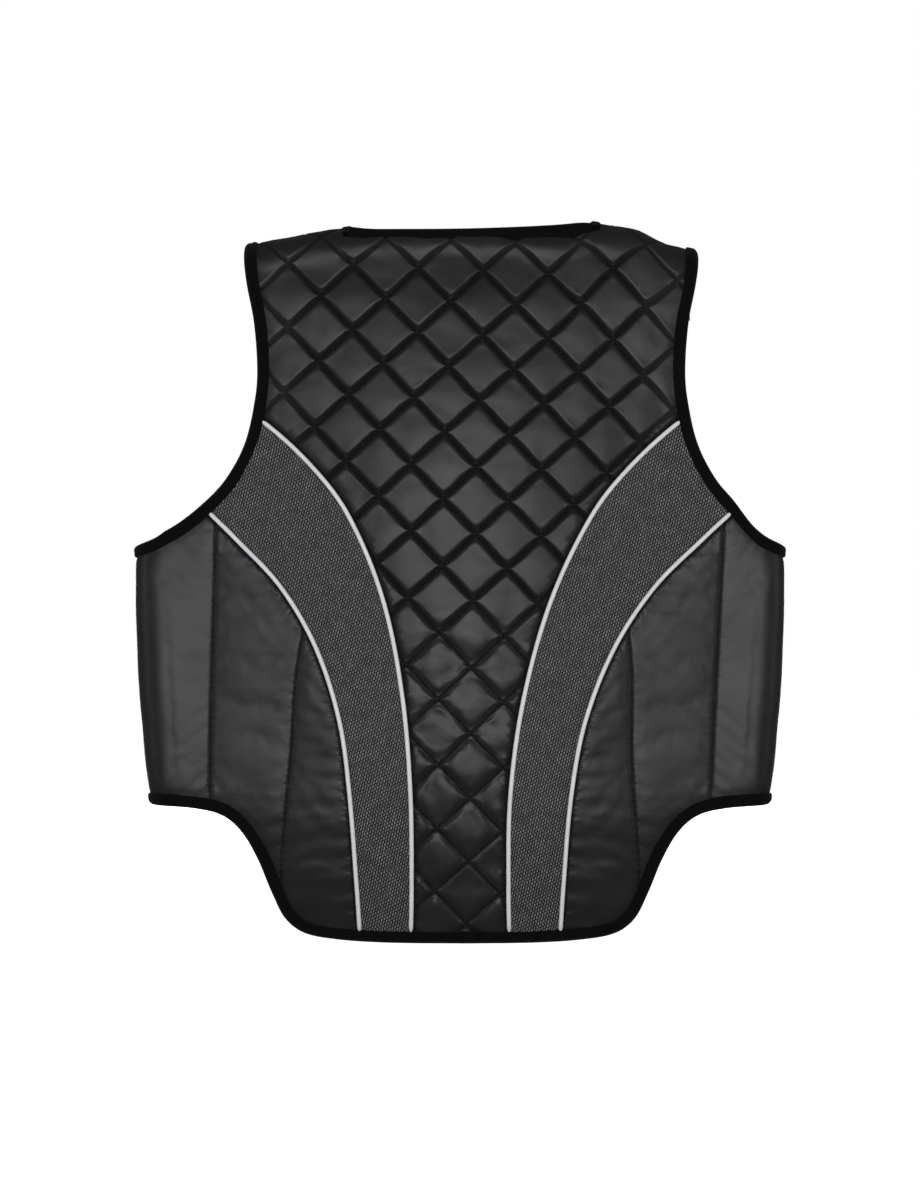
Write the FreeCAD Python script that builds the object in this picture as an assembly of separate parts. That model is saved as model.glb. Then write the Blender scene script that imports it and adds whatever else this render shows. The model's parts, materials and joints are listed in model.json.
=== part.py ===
import FreeCAD, Part
import math
import os
from FreeCAD import Rotation, Vector

# Body protector vest worn over the torso. Design frame, in mm: X across the body with the
# wearer's right at +X, Y from the back (negative) to the chest (positive), Z up from the
# lowest point of the tail. Every finished piece is moved so that the hanging loop is the origin.
os.makedirs("parts", exist_ok=True)

# ---------------------------------------------------------------- driving dimensions
GAP = 0.3                      # clearance between neighbouring layers and pieces
SHELL = 3.7                    # quilted outer cover, counted inward from the outer surface
FOAM_TOP, FOAM_UNDER = 4.0, 12.0
LINING_TOP, LINING_UNDER = 12.3, 13.8
BINDING_WIDTH = 10.0
BINDING_PROUD = 0.6
PIPING_WIDTH = 3.6
PIPING_PROUD = 1.4
SEAM_HALF = 2.1                # a panel stops this far from a piped seam's centre line

FOLD_RADIUS = 24.0             # side fold, outer radius
FOLD_FOOT = Vector(225, 0, 110)    # the right fold's axis leans outward as it rises
FOLD_HEAD = Vector(237, 0, 320)
WING_HEM = 111.0               # height of the front hem and of the wings' hem

NECK_HALF = 94.0
BACK_TOP = 566.0               # top edge of the quilted back at the neck
NECK_BINDING_TOP = 576.0
RIDGE_MIDDLE = 551.0           # height of the shoulder roll's axis at the spine
RIDGE_DROP = 17.5              # how far that axis has dropped at the armhole
SHOULDER_HALF = 182.0
FLAP_END = 505.0               # the shoulder piece ends here, on the chest
FRONT_TOP = 500.0
ZIP_TOP = 440.0

ZIP_DEPTH = 48.0               # the zip lies straight, this far in front of the fold axes
TOOTH_PITCH = 5.0

# Height to depth of the back's outer surface, at the spine and at the fold
SPINE = [(-20, 5), (0, 12), (40, 27), (80, 38), (120, 45), (170, 49.5), (230, 51.5), (300, 52),
         (380, 50), (440, 45), (500, 37), (546, 30), (570, 27)]
FLANK = [(-20, -14), (0, -8), (40, 7), (80, 18.5), (110, 24), (330, 24), (440, 24), (546, 23),
         (570, 22.5)]
# The same for the front, which lies lower at the sides to make room for the side flaps
CHEST = [(90, 48), (440, 48), (500, 37), (546, 30)]
CHEST_FLANK = [(90, 13.5), (300, 13.5), (350, 24), (440, 24), (546, 23)]

# Outlines seen from behind, right half, as (x, z)
HEM = [(0, 0.5), (60, 1), (100, 3.5), (125, 8.5), (140, 20), (151, 42), (162, 69), (175, 91),
       (190, 103.5), (212, 109), (240, 111), (270, 112)]
ARMHOLE = [(275, 315), (250, 323.5), (231, 335), (212, 353.5), (195, 373), (180.5, 401),
           (172.4, 437), (170.8, 460), (173.5, 497), (180, 532), (182, 560), (182, 620)]
NECKLINE = [(NECK_HALF, FRONT_TOP + 8), (91, 480), (80, 460), (58, 446), (32, 441), (12, ZIP_TOP)]
INNER_SEAM = [(40, -15), (38.6, 46), (39.8, 122), (48.4, 199), (67, 276), (97, 343), (127, 382),
              (168, 419), (205, 441)]
OUTER_SEAM = [(79, -15), (82.4, 46), (88.4, 122), (98, 180), (119, 238), (149, 286), (186, 324),
              (208, 345), (245, 380)]
INNER_STITCH = [(150, -15), (144, 51), (135.5, 150), (133, 220), (122, 290), (100, 420)]
OUTER_STITCH = [(199, 60), (201, 230), (203, 372)]


# ---------------------------------------------------------------- curves and surfaces
def eased(knots, z):
    """A smooth curve through (height, value) knots, read at one height."""
    z = min(max(z, knots[0][0]), knots[-1][0])
    k = max(i for i in range(len(knots) - 1) if knots[i][0] <= z)

    def slope(i):
        a, b = max(i - 1, 0), min(i + 1, len(knots) - 1)
        return (knots[b][1] - knots[a][1]) / (knots[b][0] - knots[a][0])

    (z0, v0), (z1, v1) = knots[k], knots[k + 1]
    step, t = z1 - z0, (z - z0) / (z1 - z0)
    rise = v0 * (1 + 2 * t) * (1 - t) ** 2 + v1 * t * t * (3 - 2 * t)
    return rise + step * t * (1 - t) * (slope(k) * (1 - t) - slope(k + 1) * t)


def fold_x(z):
    """Distance of the fold's axis from the middle plane at a height."""
    lean = (FOLD_HEAD.x - FOLD_FOOT.x) / (FOLD_HEAD.z - FOLD_FOOT.z)
    return FOLD_FOOT.x + lean * (z - FOLD_FOOT.z)


def depth(x, z, middle, side):
    """Distance of the outer surface from the plane of the fold axes."""
    across = min(abs(x) / fold_x(z), 1)
    deep, shallow = eased(middle, z), eased(side, z)
    return shallow + (deep - shallow) * (1 + math.cos(math.pi * across)) / 2


def ridge_z(x):
    return RIDGE_MIDDLE - RIDGE_DROP * (x / SHOULDER_HALF) ** 2


def back_point(x, station, inset):
    """A point inset from the back's outer surface. The station runs from 0 at the hem to 1 at
    the ridge's height, through 2 on the ridge's far side, down to 3 at the flap's end."""
    ridge = ridge_z(x)
    radius = depth(x, ridge, SPINE, FLANK) - inset
    if station <= 1:
        z = -15 + station * (ridge + 15)
        return Vector(x, inset - depth(x, z, SPINE, FLANK), z)
    if station <= 2:
        turn = math.pi * (station - 1)
        return Vector(x, -radius * math.cos(turn), ridge + radius * math.sin(turn))
    z = ridge + (station - 2) * (FLAP_END - ridge)
    return Vector(x, depth(x, z, SPINE, FLANK) - inset, z)


def front_point(x, z, inset):
    return Vector(x, depth(x, z, CHEST, CHEST_FLANK) - inset, z)


def evenly(first, last, count):
    return [first + (last - first) * i / (count - 1) for i in range(count)]


def net_surface(net):
    """A smooth surface that hangs on a net of points and ends on the net's edges."""
    multiplicities = [[4] + [1] * (count - 4) + [4] for count in (len(net), len(net[0]))]
    knots = [list(range(len(found))) for found in multiplicities]
    surface = Part.BSplineSurface()
    surface.buildFromPolesMultsKnots(net, *multiplicities, *knots, False, False, 3, 3)
    return surface


def sheet(point, across, along, near, far):
    """A closed solid between two insets of a curved surface."""
    faces, skins = [], []
    for inset in (near, far):
        skin = net_surface([[point(x, s, inset) for s in along] for x in across])
        skins.append(skin)
        faces.append(skin.toShape())
    u0, u1, v0, v1 = skins[0].bounds()
    for cut, at in (("uIso", u0), ("uIso", u1), ("vIso", v0), ("vIso", v1)):
        rims = [getattr(skin, cut)(at).toShape() for skin in skins]
        faces.append(Part.makeRuledSurface(*rims, 1))
    shell = Part.Shell(faces)
    shell.sewShape()
    solid = Part.Solid(shell)
    if solid.Volume < 0:
        solid.reverse()
    return solid


BACK_ACROSS = evenly(-250, 250, 27)
BACK_ALONG = evenly(0, 1, 30)[:-1] + evenly(1, 2, 13)[:-1] + evenly(2, 3, 5)
FRONT_ACROSS = evenly(0, 250, 14)
FRONT_ALONG = evenly(95, 545, 19)


def back_sheet(near, far):
    return sheet(back_point, BACK_ACROSS, BACK_ALONG, near, far)


def front_sheet(near, far):
    return sheet(front_point, FRONT_ACROSS, FRONT_ALONG, near, far)


def spline(points):
    curve = Part.BSplineCurve()
    curve.interpolate([Vector(x, 0, z) for x, z in points])
    return curve


def beside(points, distance):
    """The points moved sideways, to the left of their curve's direction."""
    curve = spline(points)
    moved = []
    for x, z in points:
        t = curve.tangent(curve.parameter(Vector(x, 0, z)))[0]
        moved.append((x - t.z * distance, z + t.x * distance))
    return moved


def prism(*runs, low=-90, high=90):
    """A solid along Y over a closed outline of (x, z) runs: two points make a straight run,
    more make a smooth one, and straight edges join the runs."""
    edges = []
    for run, after in zip(runs, runs[1:] + runs[:1]):
        if len(run) > 2:
            edges.append(spline(run).toShape())
        else:
            edges.append(Part.makeLine(Vector(run[0][0], 0, run[0][1]),
                                       Vector(run[-1][0], 0, run[-1][1])))
        ends = [Vector(p[0], 0, p[1]) for p in (run[-1], after[0])]
        if ends[0].distanceToPoint(ends[1]) > 1e-6:
            edges.append(Part.makeLine(*ends))
    face = Part.Face(Part.Wire(edges))
    face.translate(Vector(0, low, 0))
    return face.extrude(Vector(0, high - low, 0))


def flipped(points):
    """The points mirrored in the middle plane, in reverse order."""
    return [(-x, z) for x, z in reversed(points)]


def box(x0, x1, y0, y1, z0, z1):
    return Part.makeBox(x1 - x0, y1 - y0, z1 - z0, Vector(x0, y0, z0))


def kept(shape, *keep):
    for region in keep:
        shape = shape.common(region)
    return shape


def mirrored(shape):
    return shape.mirror(Vector(0, 0, 0), Vector(1, 0, 0))


def group(*shapes):
    return Part.makeCompound([solid for shape in shapes for solid in shape.Solids])


# ---------------------------------------------------------------- outline regions
TOP = 640                      # above everything
WIDE = 300                     # beyond the sides
ZIP_EDGE = 12.0                # the front panels start this far from the middle


def moved_in(points, inset):
    return beside(points, inset) if inset else points


def back_region(inset):
    hem, arm = moved_in(flipped(HEM)[:-1] + HEM, inset), moved_in(ARMHOLE, inset)
    return prism(hem, arm, flipped(arm))


def front_region(inset):
    """The right front, up to the armhole, the neckline and the shoulder."""
    low = WING_HEM + inset
    neck = list(moved_in(NECKLINE, inset))
    neck[-1] = (ZIP_EDGE, neck[-1][1])
    hem = [(ZIP_EDGE, low), (WIDE, low)]
    outline = prism(hem, moved_in(ARMHOLE, inset), neck)
    return outline.common(box(0, WIDE, -90, 90, 0, FRONT_TOP - inset))


def right_of(points, gap):
    return prism(beside(points, -gap), [(WIDE, points[-1][1]), (WIDE, points[0][1])])


def left_of(points, gap):
    return prism(beside(points, gap), [(WIDE, points[-1][1]), (WIDE, TOP)],
                 [(0, TOP), (0, points[0][1])])


def centre_of(points, gap):
    """The region between a right-hand seam and its mirror image."""
    seam = beside(points, gap)
    above = [(WIDE, points[-1][1]), (WIDE, TOP)]
    return prism(seam, above, flipped(above), flipped(seam))


def seam_strip(points, width):
    return prism(beside(points, width / 2), beside(points, -width / 2)[::-1])


LOW, HIGH = -15, 545
body_side = prism([(-WIDE, LOW), (fold_x(LOW) - GAP, LOW)], [(fold_x(TOP) - GAP, TOP), (-WIDE, TOP)])
body_side = body_side.common(mirrored(body_side))
back_pad = back_region(BINDING_WIDTH + GAP).common(body_side)
back_rim = back_region(0).cut(back_region(BINDING_WIDTH)).common(body_side)
front_pad = front_region(BINDING_WIDTH + GAP).common(body_side)
front_rim = front_region(0).cut(front_region(BINDING_WIDTH)).common(body_side)


def neck_opening(inset):
    """Everything the neck leaves out of the back: its top edge and the way over the shoulders."""
    half = NECK_HALF + inset
    over = box(-half, half, -16 - inset / 4, 90, 480, TOP)
    return over.fuse(box(-NECK_HALF, NECK_HALF, -90, 90, BACK_TOP, TOP))


centre = centre_of(INNER_SEAM, SEAM_HALF)
right_band = left_of(OUTER_SEAM, SEAM_HALF).common(right_of(INNER_SEAM, SEAM_HALF))
right_side = right_of(OUTER_SEAM, SEAM_HALF)
flap_edge = box(-WIDE, WIDE, 0, 90, FLAP_END - 10, FLAP_END + 8)
flap_hem = box(-WIDE, WIDE, 0, 90, FLAP_END - 10, FLAP_END + 8 - GAP)

parts = {}


def add_pair(name, right):
    parts["right_" + name] = right
    parts["left_" + name] = mirrored(right)


# ---------------------------------------------------------------- back: cover
back_cover = kept(back_sheet(0, SHELL), back_pad).cut(flap_edge)
parts["back_quilted_shell"] = kept(back_cover, centre).cut(neck_opening(BINDING_WIDTH))
add_pair("back_mesh_panel", kept(back_sheet(1.2, SHELL), back_pad, right_band))
add_pair("back_side_panel", kept(back_sheet(0.4, SHELL), back_pad, right_side))
piping = back_sheet(-PIPING_PROUD, SHELL)
add_pair("back_piping", group(kept(piping, back_pad, seam_strip(INNER_SEAM, PIPING_WIDTH)),
                              kept(piping, back_pad, seam_strip(OUTER_SEAM, PIPING_WIDTH))))

# ---------------------------------------------------------------- back: foam and lining
foam = kept(back_sheet(FOAM_TOP, FOAM_UNDER), back_pad).cut(neck_opening(BINDING_WIDTH))
foam = foam.cut(flap_edge)
SHOULDER_SPLIT = 521.0
ROWS = evenly(0, SHOULDER_SPLIT, 6)
centre_foam = kept(foam, centre_of(INNER_SEAM, GAP))
rows = [centre_foam.common(box(-WIDE, WIDE, -90, 0, low + GAP, high - GAP))
        for low, high in zip(ROWS, ROWS[1:])]
parts["back_center_foam"] = group(*rows)
shoulder = centre_foam.cut(box(-WIDE, WIDE, -90, 0, -90, SHOULDER_SPLIT + GAP))
add_pair("shoulder_foam", shoulder.common(box(NECK_HALF + BINDING_WIDTH + GAP, WIDE, -90, 90, 0, TOP)))
right_foam = foam.common(right_of(INNER_SEAM, GAP))
slats = [right_foam.common(left_of(OUTER_SEAM, GAP)),
         right_foam.common(right_of(OUTER_SEAM, GAP)).common(left_of(INNER_STITCH, GAP)),
         kept(right_foam, right_of(OUTER_SEAM, GAP), right_of(INNER_STITCH, GAP),
              left_of(OUTER_STITCH, GAP)),
         right_foam.common(right_of(OUTER_STITCH, GAP))]
add_pair("back_side_foam", group(*slats))
lining = kept(back_sheet(LINING_TOP, LINING_UNDER), back_pad).cut(neck_opening(BINDING_WIDTH))
parts["back_lining"] = lining.cut(flap_edge)

# ---------------------------------------------------------------- back: bound edges
rim_sheet = back_sheet(-BINDING_PROUD, LINING_UNDER)
rim = rim_sheet.common(back_rim)
parts["back_hem_binding"] = group(*[s for s in rim.Solids if s.CenterOfMass.z < WING_HEM])
flap_rim = rim_sheet.common(box(NECK_HALF, WIDE, 0, 90, FLAP_END - 10, FLAP_END + 8))
flap_rim = flap_rim.common(back_region(0))
arm_rim = [s for s in rim.Solids if s.CenterOfMass.z > WING_HEM and s.CenterOfMass.x > 0]
add_pair("back_armhole_binding", group(arm_rim[0].fuse(flap_rim)))
neck_back = back_sheet(1.5, LINING_UNDER).common(
    box(-NECK_HALF, NECK_HALF, -90, -8, BACK_TOP + GAP, NECK_BINDING_TOP))
neck_side = rim_sheet.common(box(NECK_HALF + GAP, NECK_HALF + BINDING_WIDTH, -16, 90, 480, TOP))
neck_side = neck_side.cut(flap_edge.fuse(box(0, WIDE, 0, 90, 480, FLAP_END + 8 + GAP)))
parts["back_neck_binding"] = group(neck_back, neck_side, mirrored(neck_side))


# ---------------------------------------------------------------- neck: label and hanging loop
LOOP_HALF, LOOP_END, LOOP_BOW, LOOP_THICK, LOOP_WIDTH = 30.0, 8.0, 9.0, 1.2, 8.0
LOOP_LOW = 534.0
parts["neck_label"] = back_sheet(LINING_UNDER + GAP, LINING_UNDER + 1).common(
    box(-25, 25, -60, 0, 492, 524))
loop_seat = GAP + LINING_UNDER - depth(LOOP_HALF + LOOP_END, LOOP_LOW + LOOP_WIDTH, SPINE, FLANK)


def loop_line(thick):
    """The tape seen from above: flat sewn ends and a bow that stands off the lining."""
    half = [(0, LOOP_BOW), (LOOP_HALF / 2, LOOP_BOW * 0.8), (LOOP_HALF * 0.85, LOOP_BOW * 0.2),
            (LOOP_HALF, 0), (LOOP_HALF + LOOP_END, 0)]
    curve = Part.BSplineCurve()
    curve.interpolate([Vector(x, loop_seat + y + thick, LOOP_LOW) for x, y in
                       [(-x, y) for x, y in half[:0:-1]] + half])
    return curve.toShape()


parts["hang_loop"] = Part.makeRuledSurface(loop_line(0), loop_line(LOOP_THICK)).extrude(
    Vector(0, 0, LOOP_WIDTH))
ORIGIN = Vector(0, loop_seat + LOOP_BOW, LOOP_LOW + LOOP_WIDTH)

# ---------------------------------------------------------------- front halves
front_cover = kept(front_sheet(0, SHELL), front_pad)
add_pair("front_quilted_panel", front_cover.common(left_of(INNER_SEAM, SEAM_HALF)))
add_pair("front_mesh_panel", kept(front_sheet(1.2, SHELL), front_pad, right_band))
add_pair("front_side_panel", kept(front_sheet(0.4, SHELL), front_pad, right_side))
front_cord = front_sheet(-PIPING_PROUD, SHELL).common(front_pad)
add_pair("front_piping", group(front_cord.common(seam_strip(INNER_SEAM, PIPING_WIDTH)),
                               front_cord.common(seam_strip(OUTER_SEAM, PIPING_WIDTH))))
TAPE_EDGE = 21.0               # the zip tape is sewn in up to here, so the foam starts beyond it
front_foam = front_sheet(FOAM_TOP, FOAM_UNDER).common(front_pad)
front_foam = front_foam.common(box(TAPE_EDGE, WIDE, 0, 90, 0, TOP))
chest_foam = front_foam.common(left_of(INNER_SEAM, GAP))
chest_rows = evenly(WING_HEM, FRONT_TOP, 4)
slats = [chest_foam.common(box(0, WIDE, 0, 90, low + GAP, high - GAP))
         for low, high in zip(chest_rows, chest_rows[1:])]
slats.append(kept(front_foam, right_of(INNER_SEAM, GAP), left_of(OUTER_SEAM, GAP)))
slats.append(kept(front_foam, right_of(OUTER_SEAM, GAP), left_of(OUTER_STITCH, GAP)))
slats.append(kept(front_foam, right_of(OUTER_STITCH, GAP)))
add_pair("front_foam", group(*slats))
add_pair("front_lining", front_sheet(LINING_TOP, LINING_UNDER).common(front_pad))
add_pair("front_binding", group(front_sheet(-BINDING_PROUD, LINING_UNDER).common(front_rim)))

# ---------------------------------------------------------------- side folds, which flex
def fold_sector(outer, region):
    """The outer half of a round sleeve about the leaning fold axis."""
    height, foot = 270, Vector(fold_x(95), 0, 95)
    inner = FOLD_RADIUS - LINING_UNDER
    sleeve = Part.makeCylinder(outer, height).cut(Part.makeCylinder(inner, height))
    sleeve = sleeve.common(box(GAP, 60, -60, 60, 0, height))
    sleeve.Placement = FreeCAD.Placement(foot, Rotation(Vector(0, 0, 1), FOLD_HEAD - FOLD_FOOT))
    return sleeve.common(region)


add_pair("side_fold", group(
    fold_sector(FOLD_RADIUS, back_region(BINDING_WIDTH + GAP)),
    fold_sector(FOLD_RADIUS + BINDING_PROUD, back_region(0).cut(back_region(BINDING_WIDTH)))))

# ---------------------------------------------------------------- side flaps over the front
FLAP_TIP, FLAP_LOW, FLAP_HIGH, FLAP_CORNER = 112.0, 122.0, 300.0, 26.0
FLAP_BINDING = 8.0
FLAP_UNDER, FLAP_OUTER = -2.3, -10.5
HOOK_UNDER, HOOK_OUTER = -1.2, -2.1
LOOP_PILE_UNDER, LOOP_PILE_OUTER = -0.1, -1.0


def flap_region(inset):
    tip, low, high = FLAP_TIP + inset, FLAP_LOW + inset, FLAP_HIGH - inset
    corner = FLAP_CORNER - inset
    part = corner * (1 - math.sqrt(0.5))
    return prism([(WIDE, high), (tip + corner, high)],
                 [(tip + corner, high), (tip + part, high - part), (tip, high - corner)],
                 [(tip, low + corner), (tip + part, low + part), (tip + corner, low)],
                 [(tip + corner, low), (WIDE, low)]).common(body_side)


flap_rim_region = flap_region(0).cut(flap_region(FLAP_BINDING))
flap_grip = flap_region(FLAP_BINDING + 4).common(right_of(OUTER_SEAM, 4))
add_pair("side_flap_shell",
         front_sheet(FLAP_OUTER, FLAP_UNDER).common(flap_region(FLAP_BINDING + GAP)))
add_pair("side_flap_binding",
         front_sheet(FLAP_OUTER - GAP, FLAP_UNDER + GAP).common(flap_rim_region))
add_pair("side_flap_hook_tape", front_sheet(HOOK_OUTER, HOOK_UNDER).common(flap_grip))
add_pair("side_loop_tape", front_sheet(LOOP_PILE_OUTER, LOOP_PILE_UNDER).common(flap_grip))

# ---------------------------------------------------------------- shoulder tabs
TAB_INNER, TAB_OUTER, TAB_HINGE_Z, TAB_HIGH, TAB_CORNER = 100.0, 156.0, 450.0, 532.0, 12.0
TAB_ROLL, TAB_STAND_OFF = 2.2, 2.5
TAB_UNDER, TAB_TOP = -2.9, -6.5
TAB_HOOK_UNDER, TAB_HOOK_TOP = -1.7, -2.6
tab_low = TAB_HINGE_Z + TAB_ROLL + 0.8
part = TAB_CORNER * (1 - math.sqrt(0.5))
right_corner = [(TAB_OUTER, TAB_HIGH - TAB_CORNER), (TAB_OUTER - part, TAB_HIGH - part),
                (TAB_OUTER - TAB_CORNER, TAB_HIGH)]
middle = (TAB_INNER + TAB_OUTER) / 2
left_corner = [(2 * middle - x, z) for x, z in reversed(right_corner)]
tab_outline = prism([(TAB_INNER, tab_low), (TAB_OUTER, tab_low)], right_corner, left_corner)
tab_grip = box(TAB_INNER + 4, TAB_OUTER - 4, 0, 90, FLAP_END + 10, TAB_HIGH - 5)
roll_ends = [front_point(x, TAB_HINGE_Z, -TAB_STAND_OFF) for x in (TAB_INNER, TAB_OUTER)]
roll_way = roll_ends[1] - roll_ends[0]
roll = Part.makeCylinder(TAB_ROLL, roll_way.Length, roll_ends[0], roll_way)
neck_of_tab = front_sheet(-TAB_STAND_OFF - 1.4, -TAB_STAND_OFF + 0.6).common(
    box(TAB_INNER + 1, TAB_OUTER - 1, 0, 90, TAB_HINGE_Z, tab_low + 4))
tab = front_sheet(TAB_TOP, TAB_UNDER).common(tab_outline).fuse(neck_of_tab).fuse(roll)
add_pair("shoulder_tab", tab)
add_pair("shoulder_tab_hook_tape", front_sheet(TAB_HOOK_TOP, TAB_HOOK_UNDER).common(tab_grip))
add_pair("shoulder_loop_tape", back_sheet(LOOP_PILE_OUTER, LOOP_PILE_UNDER).common(tab_grip))

# ---------------------------------------------------------------- zip, undone, halves side by side
TOOTH_IN, TOOTH_ROOT, CORD_EDGE = 1.4, 4.0, 5.6
TOOTH_FRONT, TOOTH_BACK = ZIP_DEPTH - 2.3, ZIP_DEPTH - 6.7
TAPE_FRONT, TAPE_BACK = ZIP_DEPTH - 4.6, ZIP_DEPTH - 5.6
ROW_TOP = 432.0
SLIDER_LOW, SLIDER_HEIGHT, SLIDER_HALF = 126.0, 16.0, 8.0
PIN_LOW, PIN_LENGTH = SLIDER_LOW + SLIDER_HEIGHT + 4, 20.0


def zip_row(bottom):
    """A row of teeth on its cord, in the right half, with a stop block on top."""
    count = int((ROW_TOP - bottom) / TOOTH_PITCH)
    outline = [(CORD_EDGE, bottom)]
    for k in range(count):
        z = bottom + k * TOOTH_PITCH
        outline += [(TOOTH_ROOT, z), (TOOTH_ROOT, z + 1), (TOOTH_IN, z + 1.4),
                    (TOOTH_IN, z + 3.2), (TOOTH_ROOT, z + 3.6)]
    outline += [(TOOTH_ROOT, ROW_TOP), (TOOTH_IN, ROW_TOP), (TOOTH_IN, ROW_TOP + 4),
                (CORD_EDGE, ROW_TOP + 4), (CORD_EDGE, bottom)]
    face = Part.Face(Part.makePolygon([Vector(x, TOOTH_BACK, z) for x, z in outline]))
    return face.extrude(Vector(0, TOOTH_FRONT - TOOTH_BACK, 0))


def zip_tape(bottom):
    """The woven tape in the right half, narrow where the bound hem and neckline cross it."""
    inner = CORD_EDGE + GAP
    narrow = box(inner, ZIP_EDGE - GAP, TAPE_BACK, TAPE_FRONT, bottom, ROW_TOP + 6)
    low = max(bottom, WING_HEM + BINDING_WIDTH + 2 * GAP)
    wide = box(inner, TAPE_EDGE - GAP, TAPE_BACK, TAPE_FRONT, low, ZIP_TOP - BINDING_WIDTH - 1.5)
    return narrow.fuse(wide).removeSplitter()


left_row_low = SLIDER_LOW
parts["left_zip_teeth"] = mirrored(zip_row(left_row_low))
parts["left_zip_tape"] = mirrored(zip_tape(WING_HEM + 2))
parts["right_zip_teeth"] = zip_row(PIN_LOW + PIN_LENGTH + 2)
parts["right_zip_tape"] = zip_tape(PIN_LOW).fuse(
    box(SLIDER_HALF + 0.8, TAPE_EDGE - GAP, TAPE_BACK, TAPE_FRONT, 122, PIN_LOW)).removeSplitter()
parts["zip_insert_pin"] = box(TOOTH_IN, CORD_EDGE, TOOTH_BACK + 0.6, TOOTH_FRONT - 0.6, PIN_LOW,
                              PIN_LOW + PIN_LENGTH)
BOX_HALF, BOX_LOW, BOX_HIGH = 6.5, WING_HEM + 1, SLIDER_LOW - 1.5
zip_box = box(-BOX_HALF, BOX_HALF, ZIP_DEPTH - 8.6, ZIP_DEPTH - 0.4, BOX_LOW, BOX_HIGH)
pin_socket = box(TOOTH_IN - 0.4, CORD_EDGE + 0.2, TOOTH_BACK, TOOTH_FRONT, BOX_LOW + 3, BOX_HIGH)
tape_slot = box(-BOX_HALF - 1, -CORD_EDGE, TAPE_BACK - GAP, TAPE_FRONT + GAP, BOX_LOW, BOX_HIGH)
parts["zip_box"] = zip_box.cut(pin_socket).cut(tape_slot)

PLATE, PLATE_GAP = 1.8, 0.7
WEB_HALF = 1.0
PULL_PIN, PULL_PIN_HEIGHT, PULL_PIN_STAND = 0.9, 10.5, 2.6
front_plate = (TOOTH_FRONT + PLATE_GAP, TOOTH_FRONT + PLATE_GAP + PLATE)
back_plate = (TOOTH_BACK - PLATE_GAP - PLATE, TOOTH_BACK - PLATE_GAP)
slider_high = SLIDER_LOW + SLIDER_HEIGHT
slider = box(-SLIDER_HALF, SLIDER_HALF, *front_plate, SLIDER_LOW, slider_high)
slider = slider.fuse(box(-SLIDER_HALF, SLIDER_HALF, *back_plate, SLIDER_LOW, slider_high))
slider = slider.fuse(box(-WEB_HALF, WEB_HALF, back_plate[0], front_plate[1], SLIDER_LOW, slider_high))
pin_y, pin_z = front_plate[1] + PULL_PIN_STAND, SLIDER_LOW + PULL_PIN_HEIGHT
for side in (-1, 1):
    lug = box(2.4, 3.6, front_plate[1] - 0.5, pin_y + 1.4, pin_z - 2.4, pin_z + 2.4)
    slider = slider.fuse(lug if side > 0 else mirrored(lug))
pull_pin = Part.makeCylinder(PULL_PIN, 7.2, Vector(-3.6, pin_y, pin_z), Vector(1, 0, 0))
parts["zip_slider"] = slider.fuse(pull_pin).removeSplitter()

PULLER_LENGTH, PULLER_NARROW, PULLER_HALF, PULLER_THICK = 24.0, 2.0, 3.4, 1.6
EYELET_RADIUS = 1.6
puller = Part.makeCylinder(2.2, 2 * PULLER_NARROW, Vector(-PULLER_NARROW, pin_y, pin_z),
                           Vector(1, 0, 0))
low_y, high_y = pin_y - PULLER_THICK / 2, pin_y + PULLER_THICK / 2
puller = puller.fuse(box(-PULLER_NARROW, PULLER_NARROW, low_y, high_y, pin_z - 8, pin_z))
end_z = pin_z - PULLER_LENGTH + PULLER_HALF
puller = puller.fuse(box(-PULLER_HALF, PULLER_HALF, low_y, high_y, end_z, pin_z - 6))
puller = puller.fuse(Part.makeCylinder(PULLER_HALF, PULLER_THICK, Vector(0, low_y, end_z),
                                       Vector(0, 1, 0)))
puller = puller.cut(Part.makeCylinder(PULL_PIN + 0.05, 8, Vector(-4, pin_y, pin_z), Vector(1, 0, 0)))
eyelet = Part.makeCylinder(EYELET_RADIUS, 8, Vector(0, pin_y - 4, end_z), Vector(0, 1, 0))
parts["zip_puller"] = puller.cut(eyelet).removeSplitter()

# ---------------------------------------------------------------- finished pieces
for name, shape in parts.items():
    shape.translate(-ORIGIN)
    shape.exportStep(f"parts/{name}.step")

axis = FOLD_HEAD - FOLD_FOOT
axis.normalize()
roll_way.normalize()
print("pieces", len(parts))
print("origin", ORIGIN)
print("fold axis", FOLD_FOOT - ORIGIN, axis)
print("tab hinge", roll_ends[0] - ORIGIN, roll_way)
print("pull pin", Vector(0, pin_y, pin_z) - ORIGIN, "eyelet", Vector(0, pin_y, end_z) - ORIGIN)
print("slider travel", ROW_TOP - slider_high)
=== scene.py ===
import json
import math

import bmesh
import bpy
import numpy as np
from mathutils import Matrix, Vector
from mathutils.geometry import delaunay_2d_cdt


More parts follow.
